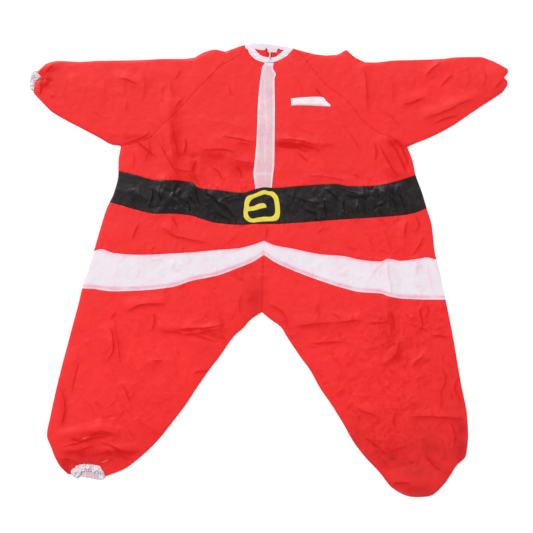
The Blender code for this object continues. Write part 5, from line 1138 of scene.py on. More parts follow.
for side in ("right", "left"):
    half_zip = (-1 if side == "right" else 1) * ZIP_WIDTH / 2 / SQUARE
    top = np.vstack([raglan(side, RAGLAN_COLUMNS), neck_seam(side)[1:]])
    belt = half_seam(BELT, "top", side, BELT_MIDDLE + half_zip)
    ups = np.linspace(top[-1, 1], belt[-1, 1], BODICE_ROWS + 1)
    end = np.column_stack([zip_across(ups) + half_zip, ups])
    top[-1] = end[0]
    grid = framed(top, belt, side_line(BODY_SIDES, side, top[0, 1], belt[0, 1], BODICE_ROWS), end)
    front_piece(f"front_bodice_{side}", grid, RED_TAFFETA)

# The sleeves.
# Raglan sleeves of red taffeta, each one piece round the arm and sewn under it, gathered on elastic at the
# wrist. Each is a tube pressed flat: a front over a back.

SLEEVE_RINGS = 200
BACK_SHARE = 2              # the back of a sleeve has one row for this many of its front
BACK_UNDERSIDE_STEP = 5
STITCH_PITCH = 0.0031
STITCH_SIZE = (0.0023, 0.0006, 0.0004)      # length, width and height
STITCH_TOP_SHARE = 0.55     # the size of a stitch's top beside that of its foot
STITCH_SUNK = 0.00012
RAGLAN_ROW = 0.0016         # how far from the seam its stitches run


def tapered_block(middle, along, size, top_share):
    """The points and faces of a small block with a narrower top, lying along a direction."""
    length, width, height = size
    side = np.array([-along[1], along[0]])
    verts = []
    for z, share in ((0.0, 1.0), (height, top_share)):
        for u, v in ((-1, -1), (1, -1), (1, 1), (-1, 1)):
            x, y = middle[:2] + along * u * length / 2 * share + side * v * width / 2 * share
            verts.append((x, y, middle[2] + z))
    faces = [[3, 2, 1, 0], [4, 5, 6, 7]]
    faces += [[i, (i + 1) % 4, 4 + (i + 1) % 4, 4 + i] for i in range(4)]
    return np.array(verts), faces


def beside(line, gap):
    """A row beside a line, that far to its left."""
    run = np.gradient(line, axis=0)
    return line + gap * np.column_stack([-run[:, 1], run[:, 0]]) / np.linalg.norm(run, axis=1)[:, None]


def stitches(name, rows, material):
    """Rows of stitches along lines in metres. A line with no heights of its own lies on the front layer."""
    blocks = []
    for row in rows:
        if row.shape[1] == 2:
            row = np.column_stack([row, front_top(row[:, None])[:, 0]])
        marks = even(row, int(travelled(row)[-1] / STITCH_PITCH))
        for start, stop in zip(marks[:-1], marks[1:]):
            middle, along = (start + stop) / 2, (stop - start)[:2]
            middle[2] -= STITCH_SUNK
            blocks.append(tapered_block(middle, along / np.linalg.norm(along), STITCH_SIZE, STITCH_TOP_SHARE))
    return make_piece("", blocks, material, name=name)


RED_THREAD = cloth_material("red_thread", TAFFETA, {"Colour": (0.70, 0.010, 0.012, 1.0)}, 0.35)

for side in ("right", "left"):
    cuff = smooth_line(WRIST_LINE if side == "right" else LEFT_SLEEVE_END, RAGLAN_COLUMNS)
    seam = raglan(side, RAGLAN_COLUMNS)
    under = sleeve_line(SLEEVE_UNDERSIDES, side, abs(cuff[0, 0]), UNDERARM_OUT[side], SLEEVE_RINGS)
    over = sleeve_line(SLEEVE_TOPS, side, abs(cuff[-1, 0]), NECK_OUT, SLEEVE_RINGS)
    seam[-1] = over[-1]
    grid = framed(cuff, seam, under, over)
    back_grid = grid[::BACK_SHARE, ::BACK_SHARE]
    top, hollow = front_face(grid)
    walls = [cloth_wall(grid, top), cloth_wall(back_grid, back_top(back_grid), step=BACK_UNDERSIDE_STEP)]
    made = make_piece(f"sleeve_{side}", walls, RED_TAFFETA, masks={"hollow": [hollow]})
    state_cut(made, [grid, back_grid])
raglan_rows = [beside(stepped(raglan(side, 200)), gap)
               for side, gap in (("right", -RAGLAN_ROW), ("left", RAGLAN_ROW))]
stitches("raglan_stitches", raglan_rows, RED_THREAD)

# The front of the belt and of the skirt.
# A band of thin black coated cloth, sewn in at the waist, and the red panel below it. The belt is the more
# crumpled of the two, with sharp edges that catch the light.

BELT_ROWS = 40
SKIRT_ROWS = 56
BELT_ROW = 0.003            # how far inside its edges the belt's stitches run

BLACK_THREAD = cloth_material("black_thread", TAFFETA, {"Colour": (0.010, 0.008, 0.009, 1.0)}, 0.45)


def whole_seam(table, edge, middle):
    """A seam from the right side of the body to the left one."""
    halves = table if isinstance(table, dict) else {"right": table, "left": table}
    right = half_seam(halves["right"], edge, "right", middle)
    return np.vstack([right, half_seam(halves["left"], edge, "left", middle)[::-1][1:]])


belt_top, belt_bottom = whole_seam(BELT, "top", BELT_MIDDLE), whole_seam(BELT, "bottom", BELT_MIDDLE)
hem_top = whole_seam(HEM_HALF, "top", HEM_PEAK)
belt_grid = whole_panel(belt_top, belt_bottom, BELT_ROWS)
front_piece("belt_front", belt_grid, BLACK_BELTING)
skirt_grid = whole_panel(belt_bottom, hem_top, SKIRT_ROWS)
front_piece("skirt_front", skirt_grid, RED_TAFFETA)
belt_rows = [beside(place(belt_top), -BELT_ROW), beside(place(belt_bottom), BELT_ROW)]
stitches("belt_stitches", belt_rows, BLACK_THREAD)

# The front of the white hem band, and of the legs.
# The band is white taffeta in two halves, whose pink turnings show through along both edges. The trouser legs
# are red taffeta, joined by the seam of the crotch. The right one is gathered on elastic, the left turned in.

HEM_ROWS, LEG_ROWS = 40, 232
TOP_TURNING = 0.013         # how wide the upper turning shows pink through the band
TOP_SEAM_PINK_WIDE = 0.0022
END_TURNING, END_TURNING_WIDE = 0.0095, 0.0055   # where the lower turning shows, up from the edge
PATCH_SIZE, MOTTLE_SIZE = 0.035, 0.009  # the pink comes and goes
HEM_ROW = 0.0125            # how far inside its edges the band's stitches run

WHITE_THREAD = cloth_material(
    "white_thread", TAFFETA, {"Colour": (0.72, 0.62, 0.68, 1.0), "Tone Change": 0.03}, 0.35)
hem_stitch_rows = []
for side, inward in (("right", 1), ("left", -1)):
    band_top = half_seam(HEM_HALF[side], "top", side, HEM_PEAK)
    band_end = half_seam(HEM_HALF[side], "bottom", side, HEM_PEAK)
    grid = half_panel(side, band_top, band_end, HEM_ROWS)
    top, hollow = front_face(grid)
    steps = np.linalg.norm(np.diff(grid, axis=0), axis=2)
    from_top = np.vstack([np.zeros((1, grid.shape[1])), np.cumsum(steps, axis=0)])
    from_end = from_top[-1:] - from_top
    patchy = value_noise(grid.reshape(-1, 2), PATCH_SIZE, 46).reshape(top.shape)
    mottled = value_noise(grid.reshape(-1, 2), MOTTLE_SIZE, 47).reshape(top.shape)
    pink = 0.42 * np.clip(1.6 - from_top / TOP_TURNING * 1.6, 0, 1)
    pink += 0.5 * np.exp(-(from_top / TOP_SEAM_PINK_WIDE)**2)
    pink += np.exp(-((from_end - END_TURNING) / END_TURNING_WIDE)**2)
    # The turnings' pink is real; the share of the hollow mask adds painted shade, in pink, in creases.
    pink = np.clip(pink * (1 + 0.35 * patchy) + 0.50 * hollow + 0.10 * patchy + 0.07 * mottled, 0, 1)
    made = make_piece(f"hem_band_front_{side}", [cloth_wall(grid, top)], WHITE_TAFFETA,
                      masks={"hollow": [pink]})
    state_cut(made, [grid])
    hem_stitch_rows += [beside(place(band_top), -inward * HEM_ROW), beside(place(band_end), inward * HEM_ROW)]
    outer = side_line(BODY_SIDES, side, band_end[0, 1], LEG_SIDE_END[side], LEG_ROWS)
    foot = ankle_line() if side == "right" else smooth_line(LEFT_LEG_END, HALF_COLUMNS)[::-1]
    grid = framed(band_end, foot, outer, inner_leg(side, band_end[-1, 1], LEG_ROWS))
    front_piece(f"leg_front_{side}", grid, RED_TAFFETA)
stitches("hem_stitches", hem_stitch_rows, WHITE_THREAD)

# The zip.
# A white nylon zip, sewn between the two fronts from the free edge of the collar to the belt. The placket hides
# it but for its top end.

ZIP_TOP = 212.4             # squares up
TAPE_WIDTH = 0.024          # its edges lie under the fronts
TAPE_WALL = 0.0004
TAPE_SUNK = 0.0006
TAPE_TOP_RISE = 0.0012      # it rises to the slider at its top end
TAPE_RISES_FROM, TAPE_RISES_OVER = 210.2, 1.2   # squares up
ZIP_COLUMNS = 8
ZIP_ROWS = 176
TOOTH_PITCH = 0.0020
TOOTH_SIZE = (0.0024, 0.0012, 0.0007)
TOOTH_OVERLAP = 0.0007      # how far a tooth reaches over the middle line
TOOTH_TOP_SHARE = 0.55      # the width of a tooth's top beside that of its foot

ZIP_CLOTH = cloth_material(
    "zip_cloth", TAFFETA,
    {"Colour": (0.76, 0.74, 0.78, 1.0), "Tone Change": 0.03, "Threads a Metre": 1100.0,
     "Thread Height": 0.00012, "Crinkle Height": 0.0001}, 0.25)


def state_strip(made, grids, fullness=1.0):
    """Work out a narrow strip's mean width and its length along its middle; the result is not kept."""
    sizes = [sorted((travelled(grid[:, grid.shape[1] // 2])[-1],
                     np.linalg.norm(np.diff(grid, axis=1), axis=2).sum(axis=1).mean())) for grid in grids]
    widths, lengths = zip(*sizes)
    flat = (float(np.mean(widths)), float(sum(lengths) * fullness))


def tape_top(grid):
    """Height of the tape's upper face: it lies under the fronts, and rises to the slider at its top end."""
    ups = grid[:, :, 1] / SQUARE + DRAWING_MIDDLE[1]
    rise = np.clip((ups - TAPE_RISES_FROM) / TAPE_RISES_OVER, 0, 1)
    return front_top(grid) - TAPE_SUNK + TAPE_TOP_RISE * rise


ups = np.linspace(ZIP_TOP, seam_up(BELT, "top", BELT_MIDDLE), ZIP_ROWS + 1)
zip_middle = place(np.column_stack([zip_across(ups), ups]))
across = np.linspace(-0.5, 0.5, ZIP_COLUMNS + 1) * TAPE_WIDTH
grid = zip_middle[:, None] + np.column_stack([across, np.zeros(len(across))])[None]
tape_wall = cloth_wall(grid, tape_top(grid), 0.0, TAPE_WALL)
zip_tape = make_piece("zip_tape", [tape_wall], ZIP_CLOTH)
state_strip(zip_tape, [grid])

tooth_line = even(zip_middle, int(travelled(zip_middle)[-1] / TOOTH_PITCH))[2:-2]
tooth_heights = tape_top(tooth_line[:, None])[:, 0]
teeth = []
for i, (point, height) in enumerate(zip(tooth_line, tooth_heights)):
    sign = 1 if i % 2 else -1
    centre = (point[0] + sign * (TOOTH_SIZE[0] / 2 - TOOTH_OVERLAP), point[1], height)
    teeth.append(tapered_block(np.array(centre), np.array([1.0, 0.0]), TOOTH_SIZE, TOOTH_TOP_SHARE))
make_piece("zip_tape", teeth, ZIP_CLOTH, name="zip_teeth")

# The zip slider and its pull.
# Both are die-cast zinc with a dull nickel finish. Two plates joined at the nose hug the tape, and the bridge on
# the upper one holds the ring of the pull, which turns on it and lies up towards the neck.

PULL_PIN = (0.004079, 0.724111, 0.00651)        # the middle of the ring's bar, on which the pull turns
PLATE_OUTLINE = ((-2.2, -5.7), (2.2, -5.7), (3.3, -4.6), (3.5, 0.5), (3.1, 3.4), (1.6, 5.7), (-1.6, 5.7),
                 (-3.1, 3.4), (-3.5, 0.5), (-3.3, -4.6))        # millimetres from the pin
PLATE_HEIGHTS = ((1.75, 2.25), (3.55, 5.20))    # millimetres from the floor
NOSE_OUTLINE = ((-0.9, 2.4), (0.9, 2.4), (1.2, 4.0), (0.6, 5.4), (-0.6, 5.4), (-1.2, 4.0))
FLANGES = ((-3.45, -2.95), (2.95, 3.45))
FLANGE_ENDS = (-4.6, 0.4)
FLANGE_LOW = 2.95
BRIDGE_PATH = ((-1.45, 4.9), (-1.45, 6.9), (-1.15, 7.6), (-0.5, 7.9), (0.5, 7.9), (1.15, 7.6), (1.45, 6.9),
               (1.45, 4.9))     # from the pin, and from the floor
BRIDGE_HALF_WIDTH, BRIDGE_HALF_WALL = 0.8, 0.44
PULL_OUTLINE = ((-2.0, 0.0), (2.0, 0.0), (2.0, 12.0), (2.0, 15.2), (1.4, 17.2), (0.5, 18.0), (-0.5, 18.0),
                (-1.4, 17.2), (-2.0, 15.2), (-2.0, 12.0))
PULL_EYE = ((-1.15, 0.55), (1.15, 0.55), (1.15, 2.6), (0.6, 3.0), (-0.6, 3.0), (-1.15, 2.6))
PULL_HALF_WALL = 0.5
PULL_GRIPS = (10.5, 12.0, 13.5, 15.0)           # raised bars across its end, from the pin
METAL_EDGE = 0.14           # millimetres of rounding along cut edges
METAL_OVERLAP = 0.2         # how far the nose and the flanges run into the plates
GRIP_HALF_LONG, GRIP_HALF_WIDE = 1.4, 0.3
GRIP_HEIGHTS = (0.3, 0.75)  # from the middle of the pull


def cut_out(loops, low, high):
    """The mesh of a flat plate between some outlines."""
    shape = bmesh.new()
    for loop in loops:
        rim = [shape.verts.new((x, y, low)) for x, y in loop]
        for i, vert in enumerate(rim):
            shape.edges.new((vert, rim[(i + 1) % len(rim)]))
    bmesh.ops.triangle_fill(shape, use_beauty=True, edges=shape.edges[:], normal=(0, 0, 1))
    raised = bmesh.ops.extrude_face_region(shape, geom=shape.faces[:])
    for vert in (item for item in raised["geom"] if isinstance(item, bmesh.types.BMVert)):
        vert.co.z = high
    bmesh.ops.recalc_face_normals(shape, faces=shape.faces)
    return shape


def from_pin(verts):
    """Points in metres, from millimetres measured from the pin and the floor."""
    return np.array(verts) / 1000 + np.array([PULL_PIN[0], PULL_PIN[1], 0.0])


def metal_plate(loops, low, high):
    """A flat plate between some outlines in millimetres from the pin, with its edges rounded."""
    shape = cut_out(loops, low, high)
    sharp = [edge for edge in shape.edges if edge.calc_face_angle(0.0) > 1.0]
    bmesh.ops.bevel(shape, geom=sharp, offset=METAL_EDGE, segments=2, profile=0.5, affect="EDGES")
    shape.verts.index_update()
    verts = [vert.co[:] for vert in shape.verts]
    faces = [[vert.index for vert in face.verts] for face in shape.faces]
    shape.free()
    return from_pin(verts), faces


def box_outline(left, right, low, high):
    """A rectangle's corners."""
    return ((left, low), (right, low), (right, high), (left, high))


def metal_arch(path):
    """The bridge: a square bar bent along a path."""
    path = np.array(path)
    across = beside(path, BRIDGE_HALF_WALL) - path
    verts = [(side * BRIDGE_HALF_WIDTH, *(point + away * step)) for point, step in zip(path, across)
             for side, away in ((-1, -1), (1, -1), (1, 1), (-1, 1))]
    last = 4 * (len(path) - 1)
    faces = [[3, 2, 1, 0], [last, last + 1, last + 2, last + 3]]
    faces += [[4 * k + i, 4 * k + (i + 1) % 4, 4 * k + 4 + (i + 1) % 4, 4 * k + 4 + i]
              for k in range(len(path) - 1) for i in range(4)]
    return from_pin(verts), faces


def nickel_group():
    """Dull nickel: fine scratches and a slow stain."""
    group, given, where = new_group(
        "nickel", {"Colour": (0.80, 0.77, 0.68, 1.0), "Stain": (0.62, 0.60, 0.52, 1.0),
                   "Scratch Height": 0.00002})
    stain, scratches = where.noise(350.0, 3.0), where.noise(2500.0, 4.0)
    return put_out(group, stain.mixed(given["Colour"], given["Stain"]), 0.34 + 0.2 * stain,
                   scratches * given["Scratch Height"])


NICKEL = cloth_material("dull_nickel", nickel_group(), {}, 0.5)
NICKEL.node_tree.nodes["Principled BSDF"].inputs["Metallic"].default_value = 0.40
slider_parts = [metal_plate([PLATE_OUTLINE], *heights) for heights in PLATE_HEIGHTS]
low, high = PLATE_HEIGHTS[0][1], PLATE_HEIGHTS[1][0] + METAL_OVERLAP
slider_parts.append(metal_plate([NOSE_OUTLINE], low - METAL_OVERLAP, high))
slider_parts += [metal_plate([box_outline(*sides, *FLANGE_ENDS)], FLANGE_LOW, high) for sides in FLANGES]
slider_parts.append(metal_arch(BRIDGE_PATH))
slider = make_piece("zip_slider", slider_parts, NICKEL, name="zip_slider_metal")
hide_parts("zip_slider")
pin_height = 1000 * PULL_PIN[2]
pull_parts = [metal_plate([PULL_OUTLINE, PULL_EYE], pin_height - PULL_HALF_WALL, pin_height + PULL_HALF_WALL)]
for grip in PULL_GRIPS:
    bar = box_outline(-GRIP_HALF_LONG, GRIP_HALF_LONG, grip - GRIP_HALF_WIDE, grip + GRIP_HALF_WIDE)
    pull_parts.append(metal_plate([bar], pin_height + GRIP_HEIGHTS[0], pin_height + GRIP_HEIGHTS[1]))
pull = make_piece("zip_pull", pull_parts, NICKEL, body="pull", name="zip_pull_metal")
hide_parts("zip_pull")

# The collar.
# A narrow band of doubled white taffeta round the neck, with three rows of lavender stitching and a rolled free
# edge. Its front parts meet over the zip, below the slider, and its back part lies on the floor.

COLLAR_ROWS, COLLAR_FRONT_COLUMNS, COLLAR_BACK_COLUMNS = 16, 48, 96
COLLAR_RISE = 0.0010
COLLAR_WALL = 0.0009
COLLAR_BACK_TOP = 0.0012
COLLAR_UNEVEN = 0.00035
COLLAR_WAVES = (24, 3)      # waves along the band and across it
CHANNELS = (0.26, 0.52, 0.78)       # shares of its width where the rows of stitches run
CHANNEL_DEPTH, CHANNEL_WIDE = 0.0004, 0.05
CHANNEL_SHADE = 0.55
FRONT_COLLAR_FREE_RIGHT = ((-14.5, 221.2), (-12, 218), (-8, 214.5), (-3, 212.9), (1, 212.4))
FRONT_COLLAR_FREE_LEFT = ((15, 220), (10, 215.5), (6, 213), (1, 212.4))
BACK_COLLAR_FREE = ((-24, 225), (-14, 226.7), (1, 226), (16, 223.5), (24, 221.5))
# Squares from the middle of the zip: below the slider, and beside it
COLLAR_END_GAP, SLIDER_GAP = 0.10, 1.12
SLIDER_GAP_FROM, SLIDER_GAP_OVER = 0.52, 0.16   # where the band makes room for it, as shares of its width
COLLAR_END_LIFT, COLLAR_END_REACH = 0.0010, 3.0 # its ends lie over the teeth
# The lower edge of the band at the back, uneven where it is puckered, and its lower edge on the right front
BACK_BAND_EDGE = ((-14.5, 221.2), (-9, 220.2), (-4.6, 220.0), (-3.4, 221.2), (-1.6, 221.3), (-0.8, 220.4),
                  (7.6, 220.0), (8.3, 221.4), (10.2, 221.4), (11.6, 220.4), (15, 220))
FRONT_BAND_EDGE_RIGHT = ((-24, 223.9), (-23.5, 222), (-21.0, 220.1), (-19.3, 216.2), (-13.4, 210.6),
                         (-5, 207.6), (1, 207.4))

# Its hollow colour is the lavender painted shade of the stitched channels.
WHITE_COLLAR = cloth_material(
    "white_collar", TAFFETA,
    {"Colour": (0.82, 0.755, 0.79, 1.0), "Hollow Colour": (0.60, 0.46, 0.64, 1.0), "Tone Change": 0.10,
     "Hollow Gloss": 0.0, "Crinkle Height": 0.0002, "Crinkles a Metre": 70.0}, 0.30)
LAVENDER_THREAD = cloth_material(
    "lavender_thread", TAFFETA, {"Colour": (0.56, 0.42, 0.68, 1.0), "Tone Change": 0.05}, 0.35)


def near_channels(share):
    """How near a place across the band is to each of its channels."""
    return [np.exp(-((share - channel) / CHANNEL_WIDE)**2) for channel in CHANNELS]


def band_rise(shape, seed):
    """The rounded cross-section of a doubled band with its stitched channels, a little uneven."""
    share = np.linspace(0, 1, shape[0])[:, None]
    along = np.linspace(0, 1, shape[1])[None, :]
    rise = COLLAR_RISE * np.sin(math.pi * np.clip(share, 0.02, 0.98))**0.5
    for near in near_channels(share):
        rise = rise - CHANNEL_DEPTH * near
    where = np.column_stack([np.repeat(along, shape[0], axis=0).ravel() * COLLAR_WAVES[0],
                             np.repeat(share, shape[1], axis=1).ravel() * COLLAR_WAVES[1]])
    return rise + COLLAR_UNEVEN * value_noise(where, 1.0, seed).reshape(shape)


def band_grid(outside, inside, columns):
    """A grid across a band, between its two edges."""
    share = np.linspace(0, 1, COLLAR_ROWS + 1)[:, None, None]
    return place((1 - share) * even(outside, columns)[None] + share * even(inside, columns)[None])


collar_parts, collar_rows = [], []


def add_collar_part(grid, top, lowest):
    """Keep one part of the band, with the masks and the rows of its lavender threads."""
    share = np.linspace(0, 1, len(top))[:, None] * np.ones((1, top.shape[1]))
    # The stitched channels get painted shade, in lavender, through the hollow mask.
    threads = CHANNEL_SHADE * sum(near_channels(share))
    collar_parts.append((cloth_wall(grid, top, lowest, COLLAR_WALL, 2), grid, threads))
    collar_rows.extend(np.dstack([grid, top])[round(channel * COLLAR_ROWS)] for channel in CHANNELS)


for side, seam, free, seed in (("right", FRONT_BAND_EDGE_RIGHT, FRONT_COLLAR_FREE_RIGHT, 61),
                               ("left", FRONT_COLLAR_SEAM_LEFT, FRONT_COLLAR_FREE_LEFT, 62)):
    sign = -1 if side == "right" else 1
    outside, inside = smooth_line(seam, 60), smooth_line(free, 60)
    outside[0] = BACK_COLLAR_FREE[0 if side == "right" else -1]
    for line in (outside, inside):
        line[-1, 0] = zip_across(line[-1, 1]) + sign * COLLAR_END_GAP
    grid = band_grid(outside, inside, COLLAR_FRONT_COLUMNS)
    from_end = np.linalg.norm(grid - grid[:, -1:], axis=2) / SQUARE
    share = np.linspace(0, 1, COLLAR_ROWS + 1)[:, None]
    room = (SLIDER_GAP - COLLAR_END_GAP) * np.clip((share - SLIDER_GAP_FROM) / SLIDER_GAP_OVER, 0, 1)
    grid[:, :, 0] += sign * SQUARE * room * np.exp(-from_end / COLLAR_END_REACH)
    end_lift = COLLAR_END_LIFT * np.exp(-from_end / COLLAR_END_REACH)
    if side == "left":
        grid, end_lift = grid[:, ::-1], end_lift[:, ::-1]
    top = front_top(grid[:1]) + band_rise(grid.shape[:2], seed) + end_lift
    add_collar_part(grid, top, BACK_TOP + BACK_RIPPLE)
grid = band_grid(smooth_line(BACK_COLLAR_FREE, 60), smooth_line(BACK_BAND_EDGE, 120), COLLAR_BACK_COLUMNS)
add_collar_part(grid, COLLAR_BACK_TOP - COLLAR_RISE + band_rise(grid.shape[:2], 63), 0.0)
walls, grids, masks = zip(*collar_parts)
collar = make_piece("neck_band", walls, WHITE_COLLAR, masks={"hollow": masks})
state_strip(collar, grids)
stitches("collar_stitches", collar_rows, LAVENDER_THREAD)

# The neck label.
# A small plain label of white satin, sewn inside the back of the neck by its upper edge.

NECK_LABEL = ((-1.3, 220.9), (8.0, 220.4), (7.6, 217.6), (-1.1, 217.7))
LABEL_COLUMNS, LABEL_ROWS = 24, 16
LABEL_LIFT = 0.0004
LABEL_CURL = 0.0012         # how far its free lower edge curls up
LABEL_WALL = 0.0003

LABEL_SATIN = cloth_material(
    "label_satin", TAFFETA, {"Colour": (0.72, 0.60, 0.66, 1.0), "Tone Change": 0.06}, 0.35)
corners = np.array(NECK_LABEL)
grid = framed(*(smooth_line(corners[ends], count) for ends, count in (
    ([0, 1], LABEL_COLUMNS), ([3, 2], LABEL_COLUMNS), ([0, 3], LABEL_ROWS), ([1, 2], LABEL_ROWS))))
down = np.linspace(0, 1, LABEL_ROWS + 1)[:, None] * np.ones((1, LABEL_COLUMNS + 1))
curl = LABEL_CURL * down**2 * (0.7 + 0.3 * np.sin(np.linspace(0, 7, LABEL_COLUMNS + 1)))[None, :]
wall = cloth_wall(grid, BACK_TOP + BACK_RIPPLE + LABEL_LIFT + curl, BACK_TOP, LABEL_WALL, 1)
state_strip(make_piece("neck_label", [wall], LABEL_SATIN), [grid])

# The placket.
# A strip of sheer white cloth over the zip, through which the red shows pink. Its edges are turned under twice,
# so they are whiter. A double seam crosses it above the belt.

Strip = namedtuple("Strip", "up right left")
PLACKET = [Strip(*row) for row in (
    (207.0, -4.0, 4.6), (201.5, -7.0, 4.0), (195.5, -7.8, 6.8), (191.0, -8.6, 5.4), (165.0, -11.0, 5.8),
    (129.0, -12.4, 5.5), (105.0, -14.6, 5.2), (97.0, -15.4, 4.2), (82.5, -13.6, 2.8),
)]
PLACKET_COLUMNS, PLACKET_ROWS = 24, 200
PLACKET_REACH = 0.005       # it follows the highest point within this distance
PLACKET_LIFT, PLACKET_EDGE_LIFT = 0.0010, 0.0003
PLACKET_WALL = 0.0004
PLACKET_TURNING = 0.0065
PLACKET_END_TURNING = 0.012
PLACKET_PINK_END = 0.060    # more red shows through this far above the belt
PLACKET_END_ABOVE = 0.15    # it ends this many squares above the belt's seam
PLACKET_SINKS_OVER = 0.018  # it comes down to the cloth over this length
RIDGE_ACROSS, RIDGE_WIDE, RIDGE_HIGH = -3.4, 0.0026, 0.0004     # where the zip under it shows as a ridge
RIDGE_WANDER, RIDGE_WAVE = 1.2, 14.0    # how far it winds, and how far apart its bends are, in squares
CROSS_SEAM_UP = 97.0
CROSS_SEAM_GAP = 1.1        # squares between its two rows
CROSS_SEAM_DIP, CROSS_SEAM_WIDE = 0.0005, 0.0015


def sheer_group():
    """Sheer white cloth over red: the red shows through unevenly, less where a turning doubles the cloth."""
    group, given, where = new_group(
        "sheer_white", {"White": (0.86, 0.78, 0.84, 1.0), "Pink": (0.72, 0.44, 0.49, 1.0),
                        "Thread Height": 0.00008})
    blotch, slow = where.noise(55.0, 4.0), where.noise(12.0, 2.0)
    whiter = 1.5 * (0.5 * blotch + 0.5 * slow - 0.42)
    colour = (stored(group, "turning") + whiter).clamped().mixed(given["Pink"], given["White"])
    warp, weft = where.threads(300.0)
    return put_out(group, colour, 0.5 + 0.1 * blotch, warp.largest(weft) * given["Thread Height"])


SHEER_WHITE = cloth_material("sheer_white", sheer_group(), {}, 0.30)


def front_round(grid, reach):
    """Heights of the front layer at each point of a grid and at four places round it."""
    shifts = ((0, 0), (reach, 0), (-reach, 0), (0, reach), (0, -reach))
    return [front_top(grid + np.array(shift)) for shift in shifts]


def sheer_piece(node, grid, top, lift, turned):
    """A strip of sheer cloth on the front, and its points."""
    top = top + PLACKET_WALL + lift
    made = make_piece(node, [cloth_wall(grid, top, 0.0, PLACKET_WALL, 1)], SHEER_WHITE,
                      masks={"turning": [turned]})
    state_strip(made, [grid])
    return np.dstack([grid, top])


share = np.linspace(0, 1, PLACKET_COLUMNS + 1)[None, :]
down = np.linspace(0, 1, PLACKET_ROWS + 1)[:, None]
end_across = PLACKET[-1].right * (1 - share) + PLACKET[-1].left * share
ups = PLACKET[0].up * (1 - down) + (seam_up(BELT, "top", end_across) + PLACKET_END_ABOVE) * down
right_edge, left_edge = (trace(PLACKET, "up", edge, ups) for edge in ("right", "left"))
across = right_edge * (1 - share) + left_edge * share
placket_grid = place(np.dstack([across, ups]))
edge_share = np.minimum(share, 1 - share) * 2
lift = PLACKET_EDGE_LIFT + (PLACKET_LIFT - PLACKET_EDGE_LIFT) * np.clip(edge_share * 2.5, 0, 1)
above_belt = (ups - ups[-1:]) * SQUARE
lift = lift * np.clip(0.15 + above_belt / PLACKET_SINKS_OVER, 0, 1)
wave = value_noise(np.column_stack([ups.ravel(), 0 * ups.ravel()]), RIDGE_WAVE, 72).reshape(ups.shape)
ridge = np.exp(-((across - RIDGE_ACROSS - RIDGE_WANDER * wave) * SQUARE / RIDGE_WIDE)**2)
lift = lift + RIDGE_HIGH * (1 + wave) * ridge
cross_rows = [CROSS_SEAM_UP, CROSS_SEAM_UP - CROSS_SEAM_GAP]
for row_up in cross_rows:
    lift = lift - CROSS_SEAM_DIP * np.exp(-((ups - row_up) * SQUARE / CROSS_SEAM_WIDE)**2)
side_away = edge_share / 2 * (left_edge - right_edge) * SQUARE
turned = np.clip(1.2 - side_away / PLACKET_TURNING, 0, 1)**0.8 * 0.75
end_away = (PLACKET[0].up - ups) * SQUARE
turned = np.maximum(turned, 0.7 * np.clip(1.2 - end_away / PLACKET_END_TURNING, 0, 1))
turned = np.maximum(turned, 0.35 * np.exp(-((ups - CROSS_SEAM_UP + 0.6) / 1.4)**2))
turned += 0.25 * ridge
turned -= 0.28 * np.exp(-above_belt / PLACKET_PINK_END)
placket_points = sheer_piece("placket", placket_grid, np.max(front_round(placket_grid, PLACKET_REACH), axis=0),
                             lift, turned)
cross_marks = [np.argmin(np.abs(ups[:, PLACKET_COLUMNS // 2] - row_up)) for row_up in cross_rows]
placket_rows = [placket_points[:, 2], placket_points[:, -3]] + [placket_points[mark] for mark in cross_marks]
stitches("placket_stitches", placket_rows, WHITE_THREAD)

# The pocket welt.
# The doubled sheer edge of a breast pocket on the wearer's left, with the red showing pink along its lower
# seam.

WELT_TOP = ((22.1, 171.4), (35, 172.6), (52.5, 172.8), (57, 169), (61.7, 164.5))
WELT_BOTTOM = ((22.3, 164.3), (35.5, 164.5), (47.7, 164), (61, 163.2))
WELT_COLUMNS, WELT_ROWS = 88, 20
WELT_LIFT = 0.0011
WELT_REACH = 0.003          # it follows the highest point within this distance

top = smooth_line(WELT_TOP, WELT_COLUMNS)
bottom = smooth_line(WELT_BOTTOM, WELT_COLUMNS)
grid = framed(top, bottom, smooth_line([top[0], bottom[0]], WELT_ROWS),
              smooth_line([top[-1], bottom[-1]], WELT_ROWS))
down = np.linspace(0, 1, WELT_ROWS + 1)[:, None] * np.ones((1, WELT_COLUMNS + 1))
pillow = WELT_LIFT * np.sin(math.pi * np.clip(0.15 + 0.80 * down, 0, 1))**0.5
turned = np.clip(0.72 + 0.25 * (down < 0.15) - 0.9 * np.clip((down - 0.72) / 0.28, 0, 1), 0, 1)
welt_points = sheer_piece("pocket_welt", grid, np.max(front_round(grid, WELT_REACH), axis=0), pillow, turned)
stitches("welt_stitches", [welt_points[2], welt_points[-3]], WHITE_THREAD)

# The buckle.
# A ring and prong cut in one from thick yellow felt, and glued to the belt. It is soft, so it follows the
# belt, and its cut edges are rounded.

